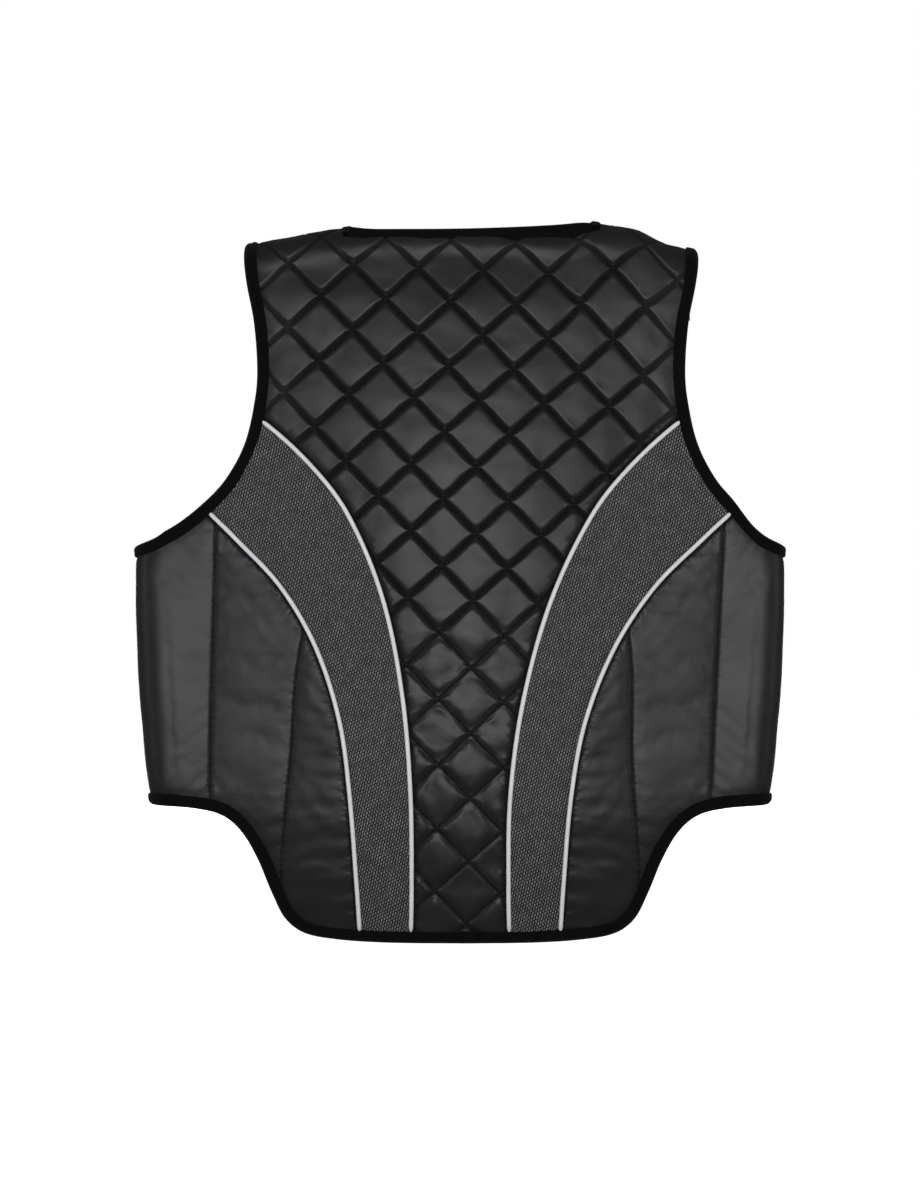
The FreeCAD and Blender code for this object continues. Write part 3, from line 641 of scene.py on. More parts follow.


def quilt_relief(x, v, straight=False):
    """Depth of the quilted cover's surface, and how near it lies to a stitched line, 0 to 1, as a mark of painted
    shade in the grooves.
    """
    p, q = quilt_lattice(x, v, straight)
    off_p, off_q = p - np.round(p), q - np.round(q)
    a, b = np.abs(off_p) * QUILT_SIDE, np.abs(off_q) * QUILT_SIDE
    shallow = smooth((np.abs(x) - 118) / 40) * smooth((v - 330) / 40)
    shallow = np.maximum(shallow, smooth((v - 532) / 30))
    low = 1 - smooth((v - 215) / 80)
    # at a crossing the cells' upper and lower tips are blunt, their side tips sharp
    upright = 2 * off_p * off_q / (off_p ** 2 + off_q ** 2 + 1e-6)
    tip = TIP_BLUNTNESS * upright * np.exp(-(a ** 2 + b ** 2) / TIP_REACH ** 2)
    width = (GROOVE_WIDTH + 1.2 * low - NARROWER * shallow) * (1 + tip)
    rise = smooth((a - GROOVE_FLOOR) / width) * smooth((b - GROOVE_FLOOR) / width)
    i, j = np.floor(p), np.floor(q)
    half = QUILT_SIDE / 2
    crown = (1 - (1 - a / half) ** 2) * (1 - (1 - b / half) ** 2)
    tilt = scatter(i, j) * (p - i - 0.5) + scatter(j + 5, i) * (q - j - 0.5)
    height = settled_height(settled_nets[straight], p, q) - 0.65 * FULL_RISE
    puff = (PUFF_SHARE + LOW_PUFF * low) * height
    puff = puff + CELL_TILT * tilt * crown * (1 - 0.6 * shallow)
    top = QUILT_TOP + 0.5 * low - puff - ripple(x, v, 26, 11) * (0.1 + 0.25 * low) * crown
    groove = QUILT_GROOVE - SHALLOWER * shallow
    # painted shade in the grooves, with a ragged edge, weaker where the grooves are shallow
    edge = (SHADE_MARK_WIDTH - 0.3 * low) * (1 + tip) + SHADE_EDGE_RAGGED * ripple(x, v, 3.6, 13)
    near = 1 - smooth((np.minimum(a, b) - edge) / SHADE_MARK_FADE)
    return top + (groove - top) * (1 - rise), near * (1 - 0.45 * shallow)


def edge_fall(places, line, reach, drop):
    """Extra depth towards an edge, where the cloth is drawn down to it."""
    gap, _ = nearest(places, line)
    return drop * (1 - smooth(gap / reach))


def puckers(places, seam, size, pitch, reach):
    """Short gathers that run away from a seam."""
    gap, along = nearest(places, seam)
    phase = 2 * np.pi * along / pitch + 1.9 * ripple(along, along * 0, 17, 5)
    return size * np.exp(-gap / reach) * np.sin(phase)


def seam_shadow(places, seam):
    """A mark along a piped seam, where the cloth dives under the piping."""
    gap, along = nearest(places, seam)
    ragged = 0.6 * ripple(along, along * 0, 5, 15)
    return 0.9 * (1 - smooth((gap - 1.1 - ragged) / 1.3))


GATHER_PITCH = 2.3


def gather_lines(seam, side, inside):
    """Short lines across the cloth beside a seam, where stitches catch its gathers."""
    path = curve_resampled(seam, GATHER_PITCH)
    across, found = inward(path, side), []
    for k, spot in enumerate(path):
        reach = 0.4 + 0.7 * scatter(k, side) + np.arange(5.0)
        line = spot + across[k] * reach[:, None]
        if inside(*line.T).all():
            found.append(line)
    return found


GRADES = [0, 0.9, 1.8, 2.7, 3.7, 5.2, 8, 12.5, 18.5]    # mm from a stitched line to its middle


def lattice_points(straight, columns, rows):
    """Points on the quilting lattice, closer together at the stitched lines."""
    share = np.array(GRADES) / QUILT_SIDE
    cell = np.concatenate([share, 1 - share[1:-1][::-1]])
    p = np.concatenate([cell + k for k in range(*columns)])
    q = np.concatenate([cell + k for k in range(*rows)])
    p, q = np.meshgrid(p, q)
    return quilt_at(p.ravel(), q.ravel(), straight)


def quilt_lines(straight, inside, lines=range(-8, 24)):
    """The stitched lines, cut to where inside() holds."""
    found = []
    steps = np.arange(-8, 24, 0.02)
    for k in lines:
        for swap in (False, True):
            whole = k + 0 * steps
            line = quilt_at(*((steps, whole) if swap else (whole, steps)), straight)
            found += runs(line, inside(*line.T))
    return found


def runs(line, held):
    """The stretches of a line where held is true."""
    edges = np.flatnonzero(np.diff(np.r_[0, held.astype(int), 0]))
    return [line[a:b] for a, b in zip(edges[::2], edges[1::2]) if b - a > 4]


# ---------------------------------------------------------------- back: quilted centre
def in_centre(x, v):
    return in_back(x, v) & within_centre(np.abs(x), v)


def near_centre(x, v):
    """A margin round the quilted centre and the shoulders, where the cloth is simulated."""
    x = np.abs(x)
    limit = np.where(v < 441, read(inner_seam, v), 205) + 12
    return (x < limit) & (v > -15) & (v < 655) & ((v < 585) | (x > NECK_HALF - 5))


settled_nets = {False: settled_cells(False, near_centre)}


SHOULDER_SAG = 3.0             # the cloth hangs in by this much just below the shoulder roll
neck_rim = neck_edge[neck_edge[:, 0] < 101]


def back_quilt_inset(x, v):
    """Depth of the back's quilted surface, drawn down to its seams and edges."""
    folded = np.column_stack([np.abs(x), v])
    inset = quilt_relief(x, v)[0]
    inset = inset + edge_fall(folded, centre_seam, 4.5, 2.0)
    inset = inset + edge_fall(folded, arm_over_inside, 7, 0.9) + edge_fall(folded, neck_rim, 6, 0.8)
    inset = inset + puckers(folded, centre_seam, 0.55, 4.4, 3.2) * smooth((470 - v) / 120)
    sag = SHOULDER_SAG * smooth((v - 506) / 44) * (1 - smooth((v - ridge_z(x)) / 26))
    return np.minimum(inset, 4.6) + sag


def made_back_quilt():
    lines = [both(hem_inside), both(neck_edge)]
    for line in (centre_seam, arm_over_inside, neck_side, flap_end_inside):
        lines += [line, mirrored(line)]
    inner = [lattice_points(False, (-5, 18), (-5, 18))]
    inner += [rows_beside(line, (1.1, 2.4, 4)) for line in (centre_seam, mirrored(centre_seam))]
    flat, faces = triangles(lines, np.vstack(inner), in_centre)
    folded = np.abs(flat) * [1, 0] + flat * [0, 1]
    # painted shade mark: the quilting's grooves and the shadow beside the piped seam, darkened by the satin
    near = np.maximum(quilt_relief(*flat.T)[1], seam_shadow(folded, centre_seam))
    made = pad("back_quilt", flat, faces, back_skin, back_quilt_inset(*flat.T), PAD_UNDER,
               marks={"groove": near})
    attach(made, "back")
    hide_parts("back_quilted_shell", "back_center_foam", "left_shoulder_foam",
                "right_shoulder_foam")
    gathers = gather_lines(centre_seam, 1, in_centre)
    lines = quilt_lines(False, in_centre) + gathers + [mirrored(line) for line in gathers]
    thread = stitches("back_quilt_stitching", lines, back_skin,
                      lambda x, v: back_quilt_inset(x, v) - QUILT_STITCH_PROUD)
    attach(thread, "back")
    return made, thread


# ---------------------------------------------------------------- back: mesh bands and sides
def in_band(x, v):
    return in_back(x, v) & between_seams(x, v)


def band_relief(places):
    inset = 1.1 - 0.7 * smooth(nearest(places, inner_seam)[0] / 22) * smooth(
        nearest(places, outer_seam)[0] / 22)
    inset = inset + edge_fall(places, inner_seam, 4, 1.2) + edge_fall(places, outer_seam, 4, 1.2)
    return inset + 0.25 * ripple(*places.T, 55, 21) + 0.12 * ripple(*places.T, 14, 22)


def made_mesh_band(side, sign):
    inner = np.vstack([grid(30, 240, -10, 470, 3.2), rows_beside(band_inner, (-1.2, -2.6)),
                       rows_beside(band_outer, (1.2, 2.6))])
    flat, faces = triangles([hem_inside, arm_inside, band_inner, band_outer], inner, in_band)
    made = pad(f"{side}_mesh_band", flat, faces, back_skin, band_relief(flat), PAD_UNDER, sign)
    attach(made, "back")
    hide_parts(f"{side}_back_mesh_panel")
    return made


fold_turn = np.linspace(0, np.pi, 49)


def round_fold(line):
    """The part of an outline that runs round the fold, as (s, z)."""
    z = np.full_like(fold_turn, read(line, 236.0, 0))
    for _ in range(4):
        x = fold_x(z) + FOLD_RADIUS * np.sin(fold_turn)
        z = read(line, x, 0)
    return np.column_stack([fold_x(z) + FOLD_RADIUS * fold_turn, z])


def joined_round_fold(line):
    """An outline from the flat back on round the fold, in order of s."""
    bent = round_fold(line)
    flat = line[np.argsort(line[:, 0])]
    flat = flat[(flat[:, 0] < bent[0, 0] - 0.5) & (flat[:, 0] > 76)]
    return np.vstack([flat, bent])


hem_round, arm_round = joined_round_fold(hem_inside), joined_round_fold(arm_inside[
    arm_inside[:, 1] < 440])
fold_end = fold_line(FOLD_RADIUS * np.pi, 100, 345, 1.5)


def in_side(s, z):
    past = right_of_seam(outer_seam, SEAM_HALF, s, z) | (s > 240)
    kept = past & (z > read(hem_round, s, 0)) & (z < read(arm_round, s, 0))
    return kept & (s < fold_x(z) + FOLD_RADIUS * np.pi)


SIDE_STEP, SIDE_SLACK, SIDE_SHARE = 4.0, 0.012, 0.3


def settled_side():
    """The settled height of the side panel's cloth, sewn down at its edges and stitch lines, on
    a regular net of (s, z)."""
    s, z = np.arange(72, 320, SIDE_STEP), np.arange(-8, 352, SIDE_STEP)
    flat = np.column_stack([c.ravel() for c in np.meshgrid(s, z)])
    edges = (side_seam, hem_round, arm_round, inner_stitch, outer_stitch)
    near = np.min([nearest(flat, edge)[0] for edge in edges], axis=0) < 0.6 * SIDE_STEP
    return s, z, settled_net(flat, len(z), in_side, near, SIDE_SLACK)


def side_height(places):
    s, z, height = side_net
    across = np.clip((places[:, 0] - s[0]) / SIDE_STEP, 0, len(s) - 1.001)
    up = np.clip((places[:, 1] - z[0]) / SIDE_STEP, 0, len(z) - 1.001)
    return read_net(height, across, up, smooth)


def side_relief(places):
    s, z = places.T
    inset = 0.9 + 0.3 * ripple(s, z, 80, 31) - SIDE_SHARE * side_height(places)
    low = 1 - smooth((z - 70) / 90)
    fan = 1 - smooth(nearest(places, outer_seam)[0] / 55)
    inset = inset + 0.55 * low * ripple(s, z, 20, 33, 0.6) + 0.35 * fan * ripple(s, z, 13, 34, 0.5)
    for seam, size in ((inner_stitch, 1.5), (outer_stitch, 1.3)):
        inset = inset + edge_fall(places, seam, 2.0, size) + edge_fall(places, seam, 13, 0.4)
        inset = inset + puckers(places, seam, 0.22, 5.1, 4)
    inset = inset + edge_fall(places, outer_seam, 5, 2.1)
    gathered = 0.35 + 0.65 * smooth((300 - z) / 120)
    inset = inset + puckers(places, outer_seam, 0.6, 4.3, 3.4) * gathered
    inset = inset + edge_fall(places, hem_round, 7, 0.9) + edge_fall(places, arm_round, 7, 0.9)
    inset = inset + puckers(places, hem_round, 0.35, 7.5, 9) + puckers(places, arm_round, 0.3, 8, 9)
    return inset


side_net = settled_side()


def made_back_side(side, sign):
    spans = (0, 1.2, -1.2, 2.6, -2.6)
    inner = np.vstack([grid(76, 315, -5, 345, 2.9),
                       rows_beside(side_seam, (-1.1, -2.3, -3.8, -5.5)),
                       rows_beside(inner_stitch, spans), rows_beside(outer_stitch, spans)])
    flat, faces = triangles([side_seam, hem_round, arm_round, fold_end], inner, in_side)
    gap = np.minimum(nearest(flat, inner_stitch)[0], nearest(flat, outer_stitch)[0])
    # painted shade mark: a faint one along the stitched lines, and the shadow beside the piped seam
    near = np.maximum(0.3 * (1 - smooth(gap / 1.2)), seam_shadow(flat, side_seam))
    made = pad(f"{side}_side_panel", flat, faces, side_skin, side_relief(flat), PAD_UNDER, sign,
               {"groove": near})
    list(fold_span(sign))
    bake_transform(made)
    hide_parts(f"{side}_back_side_panel", f"{side}_side_fold", f"{side}_back_side_foam")
    lines = [run for line in (inner_stitch, outer_stitch) for run in runs(line, in_side(*line.T))]
    lines += gather_lines(side_seam, -1, in_side)
    thread = stitches(f"{side}_side_stitching", lines, side_skin,
                      lambda s, z: side_relief(np.column_stack([s, z])) - 0.2, 0.5, sign)
    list(fold_span(sign))
    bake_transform(thread)
    return made, thread


def fold_span(sign):
    """Two points in the row frame across the fold at mid height. The way between them slants
    outward, as the tail curves forward."""
    middle = np.array([sign * fold_x(220.0), 0, 220.0])
    way = np.array([sign * 0.5, 1, -0.5 * FOLD_LEAN])
    reach = FOLD_RADIUS * way / (way @ way)
    return [tuple(place([middle + end * reach])[0]) for end in (-1, 1)]


# ---------------------------------------------------------------- piping
def cord_ends(path, low):
    """The cord dips in under the binding at its ends."""
    along = lengths(path)
    return low + 1.3 * (1 - smooth(along / 6)) + 1.3 * (1 - smooth((along[-1] - along) / 6))


def made_piping(name, sign, skin, body, inside, replaced):
    parts = []
    for seam in (inner_seam, outer_seam):
        path = curve_resampled(runs(seam, inside(*seam.T))[0], 2.5)
        parts.append(tube(path, PIPING_RADIUS, skin, cord_ends(path, 0.1), 12, sign))
    made = merged(name, parts)
    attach(made, body)
    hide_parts(replaced)
    return made


# ---------------------------------------------------------------- bound edges
def made_hem_binding():
    line = hem_line[hem_line[:, 0] < fold_x(WING_HEM)]
    path = curve_resampled(both(line), 2.2)
    lap = path[(path[:, 0] > 1) & (path[:, 0] < 15)]
    parts = [band(path, inward(path), back_skin)]
    parts.append(band(lap, inward(lap), back_skin, width=BINDING_WIDTH + 0.6, lift=0.9, seed=9))
    made = merged("hem_binding", parts)
    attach(made, "back")
    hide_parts("back_hem_binding")
    return made


def made_arm_binding(side, sign):
    path = curve_resampled(arm_over[arm_over[:, 0] < fold_x(331.0)], 2.2)
    outer_end = read(arm_line, FLAP_EDGE) - SHOULDER_DRAW - 0.5
    end = curve_resampled(flap_end[flap_end[:, 0] < outer_end], 2.2)
    parts = [band(path, inward(path), back_skin, sign=sign, seed=13 + sign),
             band(end, inward(end, -1), back_skin, width=8, sign=sign, seed=17)]
    made = merged(f"{side}_armhole_binding", parts)
    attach(made, "back")
    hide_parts(f"{side}_back_armhole_binding")
    return made


COLLAR_TOP = [(-97, 574), (-82, 572.3), (-60, 572), (-10, 572.2), (35, 573.6), (70, 575.6),
              (88, 577.3), (97, 577)]
COLLAR_HALF, COLLAR_WIDTH, COLLAR_BEHIND = 97.0, 19.0, 3.5


def collar_skin(x, z, inset):
    """The neck's edge, which stands up just behind the quilted cells."""
    x = x + lean(x, z)
    ridge, radius = ridge_z(x), ridge_radius(x)
    foot = radius * np.cos(np.arcsin(np.clip((BACK_TOP - 2 - ridge) / radius, 0, 0.95)))
    return np.column_stack([x, inset + COLLAR_BEHIND - foot, z + 0 * x])


def made_neck_binding():
    across = np.arange(-COLLAR_HALF, COLLAR_HALF + 0.1, 1.5)
    top = np.column_stack([across, eased(COLLAR_TOP, across)])
    parts = [band(top, inward(top, -1), collar_skin, width=COLLAR_WIDTH, seed=19,
                  section=thin_section(0, 11.5))]
    v = np.arange(neck_length(NECK_HALF, BACK_TOP + 3), over_length(NECK_HALF, FLAP_EDGE), 2.0)
    over = np.column_stack([0 * v + NECK_HALF, v])
    for sign in (1, -1):
        parts.append(band(over, inward(over, -1), back_skin, sign=sign, seed=23 + sign))
    made = merged("neck_binding", parts)
    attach(made, "back")
    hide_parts("back_neck_binding")
    return made


def made_fold_binding(side, sign):
    hem, arm = round_fold(hem_line), round_fold(arm_line[arm_line[:, 1] < 440])
    parts = []
    for line, way in ((hem, 1), (arm, -1)):
        line = curve_resampled(line, 2.0)
        parts.append(band(line, inward(line, way), side_skin, sign=sign, seed=29 + way))
    made = merged(f"{side}_fold_binding", parts)
    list(fold_span(sign))
    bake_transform(made)
    return made


# ---------------------------------------------------------------- linings
def made_back_lining():
    lines = [both(hem_inside), both(neck_edge)]
    edge = fold_line(-0.5, 95, 345, 3.0)
    for line in (arm_over_inside, neck_side, flap_end_inside, edge):
        lines += [line, mirrored(line)]

    def inside(x, v):
        return in_back(x, v) & (np.abs(x) < fold_x(v) - 0.5)

    inner = grid(-232, 232, 5, 640, 5)
    flat, faces = triangles(lines, inner, inside)
    made = lining_sheet("back_lining_cloth", flat, faces, back_skin, 1)
    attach(made, "back")
    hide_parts("back_lining")
    return made, flat, faces


def lining_sheet(name, flat, faces, skin, sign):
    wave = 0.22 * ripple(*flat.T, 45, 41) + 0.3 * np.cos(flat[:, 0] * 2 * np.pi / 42)
    under = LINING_UNDER + 0.1 + wave
    return pad(name, flat, faces, skin, LINING_TOP + 0 * flat[:, 0], under, sign)


def made_fold_lining(side, sign):
    start = fold_line(-0.5, 95, 345, 3.0)

    def inside(s, z):
        kept = (s > fold_x(z) - 0.5) & (s < fold_x(z) + FOLD_RADIUS * np.pi)
        return kept & (z > read(hem_round, s, 0)) & (z < read(arm_round, s, 0))

    inner = grid(220, 318, 100, 340, 4)
    flat, faces = triangles([start, fold_end, hem_round, arm_round], inner, inside)
    made = lining_sheet(f"{side}_fold_lining", flat, faces, side_skin, sign)
    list(fold_span(sign))
    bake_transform(made)
    inner_share = (FOLD_RADIUS - LINING_UNDER) / FOLD_RADIUS
    cut = np.column_stack([(flat[:, 0] - fold_x(flat[:, 1])) * inner_share, flat[:, 1]])
    return made, cut, faces


# ---------------------------------------------------------------- front halves
front_hem = np.array([(x, WING_HEM) for x in np.arange(10, 245, 1.5)])
front_hem_inside = front_hem + [0, TUCKED]
neck_line = curve(NECKLINE)
neck_line_inside = beside(neck_line, TUCKED)
front_top_inside = np.array([(x, FRONT_TOP - TUCKED) for x in np.arange(85, 200, 1.5)])
zip_line = np.array([(ZIP_EDGE, z) for z in np.arange(105, 445, 1.5)])
front_end = fold_line(-0.5, 105, 345, 1.5)
front_lines = [front_hem_inside, neck_line_inside, front_top_inside, arm_inside, zip_line,
               front_end]


def in_front(x, z):
    below_neck = (z < read(neck_line_inside, x, 0)) | (x > neck_line_inside[0, 0])
    kept = (x > ZIP_EDGE) & (x < fold_x(z) - 0.5) & (z > WING_HEM + TUCKED)
    kept = kept & (x < read(arm_inside, np.maximum(z, 316))) & (z < FRONT_TOP - TUCKED)
    return kept & below_neck


def in_front_centre(x, z):
    return in_front(x, z) & within_centre(x, z)


def in_front_band(x, z):
    return in_front(x, z) & between_seams(x, z)


def in_front_side(x, z):
    return in_front(x, z) & right_of_seam(outer_seam, SEAM_HALF, x, z)


def front_under(flat):
    """The fronts are thin along the zip, where the tape is sewn in."""
    return np.where(flat[:, 0] < TAPE_EDGE + 2, SHELL, PAD_UNDER)


def front_quilt_inset(x, z):
    """Depth of the front's quilted surface, drawn down to its seams and edges."""
    inset, places = quilt_relief(x, z, True)[0], np.column_stack([x, z])
    for line in (centre_seam, neck_line_inside, zip_line, front_hem_inside):
        inset = inset + edge_fall(places, line, 5, 1.2)
    return np.clip(inset, -0.2, 3.0)


def near_front_centre(x, z):
    limit = np.where(z < 441, read(inner_seam, z), 195) + 12
    return (x > 0) & (x < limit) & (z > 100) & (z < 505)


settled_nets[True] = settled_cells(True, near_front_centre)


def made_front(side, sign):
    """The quilted centre, mesh band and side panel of one front half."""
    body = f"{side}_front"
    inner = lattice_points(True, (-1, 14), (-8, 14))
    flat, faces = triangles(front_lines + [centre_seam], inner, in_front_centre)
    # painted shade mark: the quilting's grooves and the shadow beside the piped seam, darkened by the satin
    near = np.maximum(quilt_relief(*flat.T, True)[1], seam_shadow(flat, centre_seam))
    quilt = pad(f"{side}_front_quilt", flat, faces, front_skin, front_quilt_inset(*flat.T),
                front_under(flat), sign, {"groove": near})
    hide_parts(f"{side}_front_quilted_panel", f"{side}_front_foam")
    thread = stitches(f"{side}_front_quilt_stitching", quilt_lines(True, in_front_centre),
                      front_skin, lambda x, z: front_quilt_inset(x, z) - QUILT_STITCH_PROUD,
                      sign=sign)
    inner = grid(30, 240, 100, 470, 3.4)
    flat, faces = triangles(front_lines + [band_inner, band_outer], inner, in_front_band)
    mesh_band = pad(f"{side}_front_mesh_band", flat, faces, front_skin, band_relief(flat),
                    PAD_UNDER, sign)
    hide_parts(f"{side}_front_mesh_panel")
    inner = grid(76, 245, 100, 400, 3.6)
    flat, faces = triangles(front_lines + [side_seam], inner, in_front_side)
    inset = 0.45 + edge_fall(flat, side_seam, 5, 1.8) + 0.1 * ripple(*flat.T, 30, 51)
    side_panel = pad(f"{side}_front_side_pad", flat, faces, front_skin, inset, PAD_UNDER, sign)
    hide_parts(f"{side}_front_side_panel")
    pads = (quilt, mesh_band, side_panel)
    for piece in pads:
        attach(piece, body)
    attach(thread, body)
    inner = grid(14, 240, 115, 498, 5)
    flat, faces = triangles(front_lines, inner, in_front)
    lining = lining_sheet(f"{side}_front_lining_cloth", flat, faces, front_skin, sign)
    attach(lining, body)
    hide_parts(f"{side}_front_lining")
    return pads, thread, lining, (flat, faces)


def made_front_binding(side, sign):
    hem = curve_resampled(front_hem[(front_hem[:, 0] > ZIP_EDGE) & (front_hem[:, 0] < 224.5)], 2.2)
    arm = arm_line[(arm_line[:, 0] < fold_x(331.0) - 0.5) & (arm_line[:, 1] < FRONT_TOP)]
    arm = curve_resampled(arm, 2.2)
    neck = curve_resampled(neck_line[neck_line[:, 1] < FRONT_TOP], 2.2)
    top_x = np.arange(NECK_HALF, arm[-1, 0], 2.0)
    top = np.column_stack([top_x, 0 * top_x + FRONT_TOP])
    parts = [band(hem, inward(hem), front_skin, sign=sign, seed=61),
             band(arm, inward(arm), front_skin, sign=sign, seed=62),
             band(neck, inward(neck), front_skin, sign=sign, seed=63),
             band(top, inward(top, -1), front_skin, sign=sign, seed=64)]
    made = merged(f"{side}_front_edge_binding", parts)
    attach(made, f"{side}_front")
    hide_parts(f"{side}_front_binding")
    return made


# ---------------------------------------------------------------- side flaps
FLAP_TIP, FLAP_LOW, FLAP_HIGH, FLAP_CORNER, FLAP_BINDING = 112.0, 122.0, 300.0, 26.0, 8.0
FLAP_UNDER, FLAP_OUTER = -2.3, -10.3
HOOK_UNDER, HOOK_OUTER, HOOK_INSET, HOOK_SHORT = -1.2, -2.1, 12.0, 6.0


def flap_outline(inset):
    """The flap's free edge, from the fold along the hem, round the tip and back."""
    corner = FLAP_CORNER - inset
    tip, low, high = FLAP_TIP + inset, FLAP_LOW + inset, FLAP_HIGH - inset
    turn = np.linspace(0, np.pi / 2, 14)
    lower = np.column_stack([tip + corner * (1 - np.sin(turn)), low + corner * (1 - np.cos(turn))])
    upper = np.column_stack([tip + corner * (1 - np.cos(turn)), high - corner * (1 - np.sin(turn))])
    ends = fold_x(low) - 0.5, fold_x(high) - 0.5
    return curve_resampled(np.vstack([[(ends[0], low)], lower, upper, [(ends[1], high)]]), 2.0)


def in_flap(x, z, inset):
    """Inside the flap's outline moved in by inset."""
    corner = FLAP_CORNER - inset
    dx = np.maximum(FLAP_TIP + inset + corner - x, 0)
    dz = np.maximum(np.maximum(FLAP_LOW + inset + corner - z, z - FLAP_HIGH + inset + corner), 0)
    return (np.hypot(dx, dz) < corner) & (x < fold_x(z) - 0.4)


def flap_relief(flat, edge):
    inset = FLAP_OUTER + 0.5 + 0.25 * ripple(*flat.T, 50, 71)
    return inset + edge_fall(flat, edge, 9, 0.9) + puckers(flat, edge, 0.25, 8, 6)


def made_flap(side, sign):
    """A side flap's pad, its bound edge, its stitching and its hook tape."""
    edge = flap_outline(FLAP_BINDING - 1.5)
    end = fold_line(-0.4, 110, 312, 1.5)

    def inside(x, z):
        return in_flap(x, z, FLAP_BINDING - 1.5)

    def on_tape(x, z):
        kept = in_flap(x, z, HOOK_INSET) & (x < fold_x(z) - HOOK_SHORT)
        return kept & right_of_seam(outer_seam, 4, x, z)

    inner = grid(110, 240, 118, 305, 3.2)
    flat, faces = triangles([edge, end], inner, inside)
    shell = pad(f"{side}_flap_pad", flat, faces, front_skin, flap_relief(flat, edge),
                FLAP_UNDER - 0.1, sign)
    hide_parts(f"{side}_side_flap_shell")
    path = flap_outline(0)
    binding = merged(f"{side}_flap_edge_binding", [
        band(path, -inward(path), front_skin, FLAP_BINDING, sign, seed=77,
             section=thin_section(FLAP_OUTER, FLAP_UNDER + 0.2))])
    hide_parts(f"{side}_side_flap_binding")
    rim = flap_outline(FLAP_BINDING + 3)
    thread = stitches(
        f"{side}_flap_stitching", [rim[rim[:, 0] < 222]], front_skin,
        lambda x, z: flap_relief(np.column_stack([x, z]), edge) - COVER_STITCH_PROUD, sign=sign)
    inner = grid(110, 240, 126, 296, 4)
    lines = [flap_outline(HOOK_INSET), end + [0.4 - HOOK_SHORT, 0], beside(outer_seam, -4)]
    flat, faces = triangles(lines, inner, on_tape)
    tape = pad(f"{side}_flap_hooks", flat, faces, front_skin, HOOK_OUTER + 0 * flat[:, 0],
               HOOK_UNDER, sign)
    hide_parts(f"{side}_side_flap_hook_tape")
    dress(tape, "hook_and_loop")
    for piece in (shell, binding, thread, tape):
        ends = [tuple(place([[sign * (fold_x(210.0) - gap), 20, 210]])[0]) for gap in (1, 30)]
        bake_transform(piece)
    return shell, binding, thread


# ---------------------------------------------------------------- shoulder straps
STRAP_INNER, STRAP_OUTER, STRAP_LOW, STRAP_HIGH, STRAP_CORNER = 100.0, 156.0, 447.9, 532.0, 12.0
STRAP_OUTER_FACE, STRAP_UNDER_FACE, STRAP_BINDING = -6.5, -2.9, 6.0
STRAP_HINGE, STRAP_ROLL, STRAP_STAND_OFF = 450.0, 2.2, 2.5


def strap_outline(inset):
    """The strap's free edge, up one side, round the top and down the other."""
    corner, turn = STRAP_CORNER - inset, np.linspace(0, np.pi / 2, 8)
    inner, outer, high = STRAP_INNER + inset, STRAP_OUTER - inset, STRAP_HIGH - inset
    right = np.column_stack([outer - corner * (1 - np.cos(turn)),
                             high - corner * (1 - np.sin(turn))])
    left = np.column_stack([inner + outer - right[::-1, 0], right[::-1, 1]])
    low = STRAP_HINGE + STRAP_ROLL + 0.8
    return curve_resampled(np.vstack([[(outer, low)], right, left, [(inner, low)]]), 2.0)


